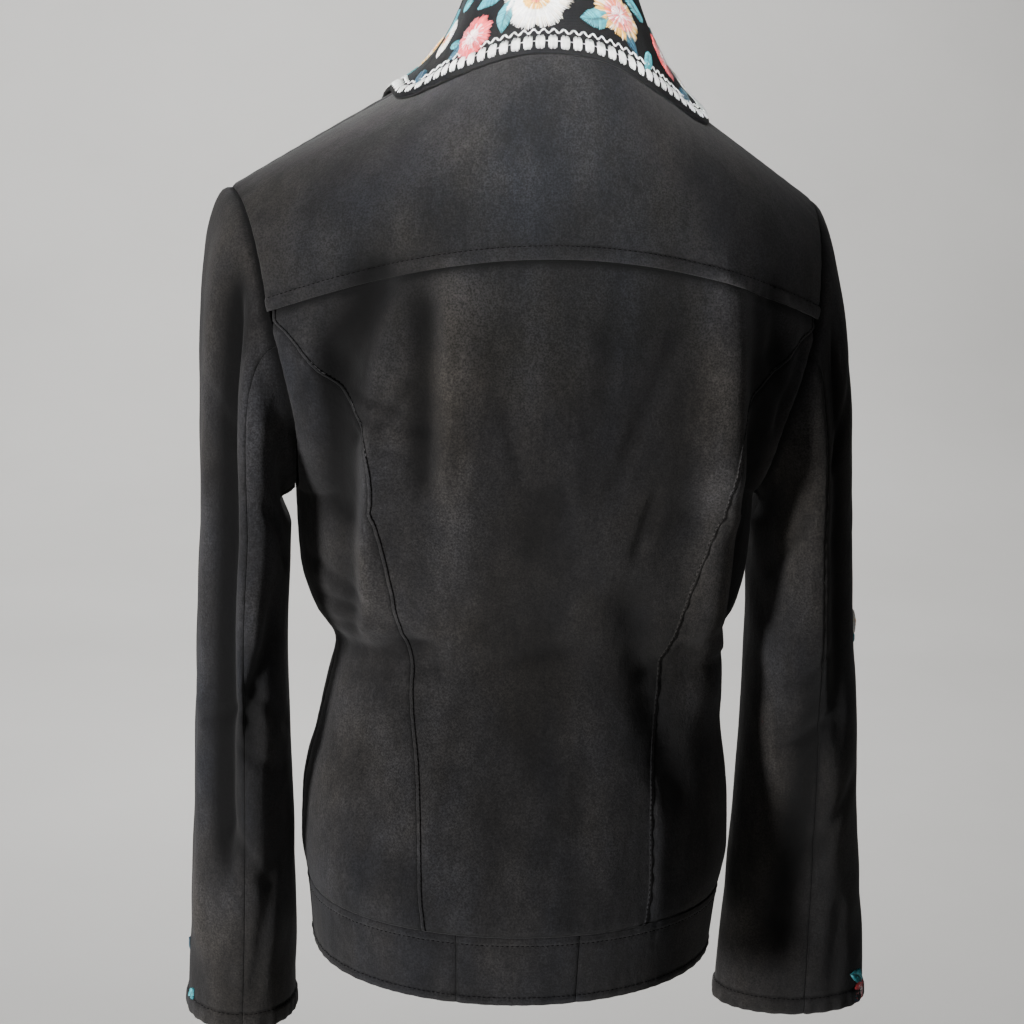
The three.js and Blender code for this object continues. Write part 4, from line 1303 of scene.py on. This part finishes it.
def collar_spot(at, up):
    """Point and outward direction on the fall, up mm above its outer edge."""
    at, up = matched(np.clip(at, -1, 1), np.clip(up, 0, UP_LIMIT - 1.01))
    u = (at + 1) / 2 * AT_STEPS
    i = np.minimum(u.astype(int), AT_STEPS - 1)
    j = up.astype(int)
    s, t = u - i, up - j
    near = T_AT_HEIGHT[i, j] * (1 - t) + T_AT_HEIGHT[i, j + 1] * t
    far = T_AT_HEIGHT[i + 1, j] * (1 - t) + T_AT_HEIGHT[i + 1, j + 1] * t
    return fall_surface(at, near * (1 - s) + far * s)


def collar_place(at, up, x, y):
    """Point and direction at x, y mm from a centre on the fall."""
    before = collar_spot(at - PATCH_PROBE, up + y)[0]
    after = collar_spot(at + PATCH_PROBE, up + y)[0]
    rate = np.linalg.norm(after - before, axis=-1) / (2 * PATCH_PROBE)
    return collar_spot(at + x / rate, up + y)


print("fall at the nape is", round(float(ladder[AT_STEPS // 2, -1])), "mm wide")

# %% [markdown]
# ## Border of the collar
# A row of white satin blocks follows the edge, joined by a thin line, with a wavy line above
# it. A block is seven threads side by side, the outer ones shorter, which rounds its corners.

# %% Border
THREAD_WIDTH = 1.0
THREAD_HEIGHT = 0.5
BLOCK_PITCH = 7.8
BLOCK_UP = 6.8
BLOCK_THREADS = np.linspace(-2.35, 2.35, 7)
BLOCK_HALF = np.array([3.5, 4.3, 4.4, 3.9, 4.4, 4.3, 3.5])
WAVE_UP = 13.7
WAVE_PITCH = 6.3
WAVE_SWING = 1.2
WAVE_WIDTH = 1.4
WAVE_HEIGHT = 0.8
JOIN_UP = 0.6                     # of the joining line above the blocks' middle
JOIN_PIECE = 4.2
JOIN_WIDTH = 0.7
JOIN_HEIGHT = 0.4
WHITE = paint(247, 246, 243)


def border_line(up):
    """Values of at along the border, and how far along it each lies."""
    at = np.linspace(-0.985, 0.985, 1200)
    return at, distances(collar_spot(at, np.full_like(at, up))[0][None], 1)[0]


at, run = border_line(BLOCK_UP)
middles = np.arange(run[-1] / 2 % BLOCK_PITCH, run[-1], BLOCK_PITCH)
block_at = np.interp(middles, run, at)[:, None, None]
k = np.linspace(-1, 1, 5)
ragged = chance.uniform(-0.22, 0.22, (len(middles), len(BLOCK_THREADS), 1))
y = BLOCK_HALF[:, None] * k + ragged
spots, ups = collar_place(block_at, BLOCK_UP, BLOCK_THREADS[:, None] + 0 * y, y)
lift = 0.2 + 0.75 * (1 - k**2)
lines = (spots + ups * lift[:, None]).reshape(-1, 5, 3)
ups = ups.reshape(-1, 5, 3)
white = WHITE * chance.uniform(0.86, 1.0, (len(lines), 1))
joined_threads("collar_blocks", lines, ups, THREAD_WIDTH, THREAD_HEIGHT, white, satin)


def running_line(up, swing, pitch, piece_length, points):
    """A continuous line above the edge, cut in short overlapping threads."""
    at, run = border_line(up)
    starts = np.arange(0, run[-1] - piece_length, piece_length * 0.94)
    places = starts[:, None] + np.linspace(0, 1, points) * piece_length
    height = up + swing * np.sin(2 * np.pi * places / pitch)
    spots, ups = collar_spot(np.interp(places, run, at), height)
    return spots + ups * 0.3, ups


lines, ups = running_line(WAVE_UP, WAVE_SWING, WAVE_PITCH, WAVE_PITCH / 2, 7)
white = WHITE * chance.uniform(0.9, 1.0, (len(lines), 1))
joined_threads("collar_wave", lines, ups, WAVE_WIDTH, WAVE_HEIGHT, white, satin)
lines, ups = running_line(BLOCK_UP + JOIN_UP, 0, 1, JOIN_PIECE, 4)
white = np.tile(WHITE * 0.9, (len(lines), 1))
joined_threads("collar_joining_line", lines, ups, JOIN_WIDTH, JOIN_HEIGHT, white, satin)

# %% [markdown]
# ## Flowers and leaves
# A satin flower is a ring of threads that fan out from its middle, in two or three overlapping
# rows whose colours run into each other. A leaf has two rows of slanted threads that meet on
# its rib. Both are plain garden motifs, drawn here by rule: petals, radius, rows of colour.

# %% Motifs
PALETTE = {
    "white": paint(246, 245, 242),
    "cream": paint(238, 226, 205),
    "blush": paint(244, 196, 200),
    "coral": paint(226, 66, 72),
    "rose": paint(234, 106, 116),
    "crimson": paint(196, 50, 66),
    "yellow": paint(240, 180, 60),
    "orange": paint(224, 112, 52),
    "teal": paint(24, 138, 150),
    "aqua": paint(58, 174, 184),
    "petrol": paint(14, 84, 106),
    "ink": paint(26, 66, 96),
}
THREAD_POINTS = 5
MOTIF_PITCH = 0.85
ALONG = np.linspace(0, 1, THREAD_POINTS)


def thread_colours(names, count):
    """A random pick of these colours for each thread, each a little lighter or darker."""
    picks = chance.integers(0, len(names), count)
    tones = np.array([PALETTE[name] for name in names])[picks]
    return tones * chance.uniform(0.8, 1.08, (count, 1))


def flower(radius, petals, rows, stretch=1.0):
    """Threads of a flower: flat lines, lifts and colours. rows: inner, outer, lift, colours."""
    parts = []
    for inner, outer, lift, names in rows:
        count = int(2 * math.pi * radius * outer / MOTIF_PITCH)
        angle = (np.arange(count) + chance.uniform(-0.3, 0.3, count)) / count * 2 * math.pi
        scallop = np.abs(np.cos(petals * angle / 2)) ** 0.45
        edge = 1 - (0.2 * (1 - scallop) + chance.uniform(0, 0.07, count)) * (outer > 0.8)
        start = radius * (inner + chance.uniform(-0.05, 0.05, count))
        end = radius * outer * edge * (1 + chance.uniform(-0.04, 0.04, count))
        reach = start[:, None] + (end - start)[:, None] * ALONG
        x = reach * np.cos(angle)[:, None] * stretch
        y = reach * np.sin(angle)[:, None]
        rise = lift + 0.7 * np.sin(math.pi * ALONG) * (0.45 + 0.55 * scallop[:, None])
        parts.append((np.stack([x, y], -1), rise, thread_colours(names, count)))
    return [np.concatenate(field) for field in zip(*parts)]


def leaf(length, width, bend, names):
    """Threads of a leaf that grows along x from its foot at 0."""
    count = int(length / MOTIF_PITCH)
    t = np.linspace(0.0, 0.93, count)
    parts = []
    for side in (1, -1):
        t_end = np.minimum(t + 0.16, 1)
        half = side * width / 2 * np.sin(math.pi * t_end**0.85) ** 0.8
        half = half * (1 + chance.uniform(-0.06, 0.06, count))
        foot = np.stack([length * t, bend * 4 * t * (1 - t)], -1)
        tip = np.stack([length * t_end, bend * 4 * t_end * (1 - t_end) + half], -1)
        flat = foot[:, None] + (tip - foot)[:, None] * ALONG[:, None]
        rise = 0.2 + 0.75 * np.sin(math.pi * (0.12 + 0.88 * ALONG)) + 0 * flat[..., 0]
        tones = thread_colours(names, count) * (1.0 if side > 0 else 0.82)
        parts.append((flat, rise, tones))
    return [np.concatenate(field) for field in zip(*parts)]


def turned_by(motif, degrees):
    """The motif turned about its own origin."""
    flat, rise, tones = motif
    turn = math.radians(degrees)
    spin = np.array([[math.cos(turn), math.sin(turn)], [-math.sin(turn), math.cos(turn)]])
    return flat @ spin, rise, tones


def laid(motif, place_on):
    """Lines, ups and colours of a motif on the cloth; place_on turns x, y into a place."""
    flat, rise, tones = motif
    spots, ups = place_on(flat[..., 0], flat[..., 1])
    return spots + ups * rise[..., None], ups, tones


WHITE_FLOWER = [
    (0.42, 1.0, 0.2, ["white", "white", "cream"]),
    (0.30, 0.72, 0.5, ["white"]),
    (0.16, 0.42, 0.8, ["yellow", "yellow", "cream"]),
    (0.0, 0.2, 1.0, ["orange", "crimson", "orange"]),
]
CORAL_FLOWER = [
    (0.45, 1.0, 0.2, ["coral", "coral", "rose"]),
    (0.24, 0.66, 0.5, ["rose", "blush", "coral"]),
    (0.0, 0.40, 0.8, ["white", "blush"]),
]
SUN_FLOWER = [
    (0.5, 1.0, 0.2, ["yellow", "yellow", "cream"]),
    (0.28, 0.68, 0.5, ["rose", "orange", "blush"]),
    (0.0, 0.38, 0.8, ["white", "blush", "rose"]),
]
GREEN_LEAF = ["teal", "teal", "aqua"]
BLUE_LEAF = ["petrol", "petrol", "ink"]

# %% [markdown]
# The spray on the collar is centred on a large white flower behind the neck, with coral and
# yellow flowers to its sides and leaves between. It goes on in the same way to the front ends.

# %% Flowers of the collar
COLLAR_FLOWERS = table(
    "at up radius petals kind stretch",
    (0.055, 36, 22, 6, "white", 1.05),
    (0.19, 22, 14.5, 9, "coral", 1.1),
    (-0.115, 35, 16, 8, "sun", 1.2),
    (-0.31, 37, 15, 9, "coral", 1.0),
    (0.35, 43, 12, 6, "white", 1.0),
    (0.52, 42, 13, 8, "sun", 1.0),
    (-0.47, 38, 15, 6, "white", 1.0),
    (0.64, 37, 17, 9, "coral", 1.0),
    (-0.64, 37, 17, 8, "sun", 1.0),
    (0.84, 33, 13, 6, "white", 1.0),
    (-0.84, 33, 13, 9, "coral", 1.0),
)
COLLAR_LEAVES = table(
    "at up length width bend turn kind",
    (0.12, 46, 24, 13, 2, 350, "green"),
    (0.102, 38, 22, 12, 2, 286, "green"),
    (-0.085, 31, 21, 13, -2, 340, "green"),
    (-0.125, 32, 20, 10, 1, 243, "blue"),
    (-0.20, 24, 18, 8, -1, 300, "green"),
    (0.255, 13, 14, 6, 1, 130, "blue"),
    (0.27, 25, 12, 6, -1, 200, "green"),
    (-0.21, 46, 22, 11, 2, 20, "green"),
    (0.27, 50, 20, 10, -2, 150, "green"),
    (0.40, 24, 17, 9, 1, 240, "blue"),
    (0.40, 52, 18, 9, 2, 120, "green"),
    (-0.39, 26, 17, 9, -1, 300, "blue"),
    (-0.39, 52, 18, 9, 2, 60, "green"),
    (0.56, 30, 17, 9, 1, 240, "green"),
    (-0.56, 30, 17, 9, -1, 300, "green"),
    (0.75, 45, 17, 9, -1, 60, "green"),
    (0.75, 24, 15, 8, 1, 250, "blue"),
    (-0.75, 45, 17, 9, 1, 120, "green"),
    (-0.75, 24, 15, 8, -1, 290, "blue"),
    (0.93, 27, 14, 7, 1, 200, "green"),
    (-0.93, 27, 14, 7, 1, 340, "green"),
)
ROWS = {"white": WHITE_FLOWER, "coral": CORAL_FLOWER, "sun": SUN_FLOWER}
LEAVES = {"green": GREEN_LEAF, "blue": BLUE_LEAF}


def motif_of(row):
    """The flat threads of a table's flower or leaf."""
    if "petals" in row:
        return flower(row["radius"], row["petals"], ROWS[row["kind"]], row.get("stretch", 1.0))
    grown = leaf(row["length"], row["width"], row["bend"], LEAVES[row["kind"]])
    return turned_by(grown, row["turn"])


def stitched_motifs(name, rows, place_on):
    """Lay the motifs of these rows and join them into one piece."""
    motifs = [laid(motif_of(row), lambda x, y: place_on(row, x, y)) for row in rows]
    lines, ups, tones = [np.concatenate(field) for field in zip(*motifs)]
    joined_threads(name, lines, ups, THREAD_WIDTH, THREAD_HEIGHT, tones, satin)


for name, rows in (("collar_flowers", COLLAR_FLOWERS), ("collar_leaves", COLLAR_LEAVES)):
    stitched_motifs(name, rows, lambda row, x, y: collar_place(
        row["at"], row["up"], x, y))

# %% [markdown]
# ## Sprays on the sleeves
# From behind only a few petals and leaf tips show past the outer edge of each cuff, so a
# spray sits on the outside of each forearm, with its flowers out of sight.

# %% Sleeve sprays
def sleeve_place(hand, angle, place, x, y):
    """Point and direction at x, y mm (y upwards) from a centre on a sleeve."""
    middle = sleeve_surface(hand, angle, place)[0]
    around = np.linalg.norm(sleeve_surface(hand, angle + 4, place)[0] - middle) / 4
    down = np.linalg.norm(sleeve_surface(hand, angle, place - 0.2)[0] - middle) / 0.2
    return sleeve_surface(hand, angle + x / around, place - y / down)


SLEEVE_FLOWERS = table(
    "side angle place radius petals kind",
    (1, 318, 4.35, 21, 6, "white"),
    (1, 322, 3.6, 15, 9, "coral"),
    (1, 296, 4.7, 13, 8, "sun"),
    (-1, 330, 4.35, 21, 6, "white"),
    (-1, 28, 4.86, 10, 9, "coral"),
    (-1, 318, 3.7, 15, 8, "sun"),
    (-1, 26, 0.98, 9, 6, "white"),
)
SLEEVE_LEAVES = table(
    "side angle place length width bend turn kind",
    (1, 15, 4.95, 20, 11, 2, 66, "green"),
    (1, 335, 4.3, 20, 10, -2, 40, "blue"),
    (1, 300, 3.9, 22, 10, 2, 140, "green"),
    (1, 334, 3.2, 20, 9, 2, 70, "green"),
    (-1, 24, 4.74, 20, 11, 2, 35, "green"),
    (-1, 30, 4.98, 13, 7, 1, 25, "blue"),
    (-1, 306, 4.4, 22, 10, -2, 160, "green"),
    (-1, 19, 1.12, 15, 7, 1, 215, "green"),
    (-1, 340, 3.2, 20, 9, 2, 80, "green"),
)
for hand, word in HANDS:
    rows = [row for row in SLEEVE_FLOWERS + SLEEVE_LEAVES if row["side"] == hand]
    stitched_motifs(f"sleeve_spray_{word}", rows, lambda row, x, y: sleeve_place(
        hand, row["angle"], row["place"], x, y))
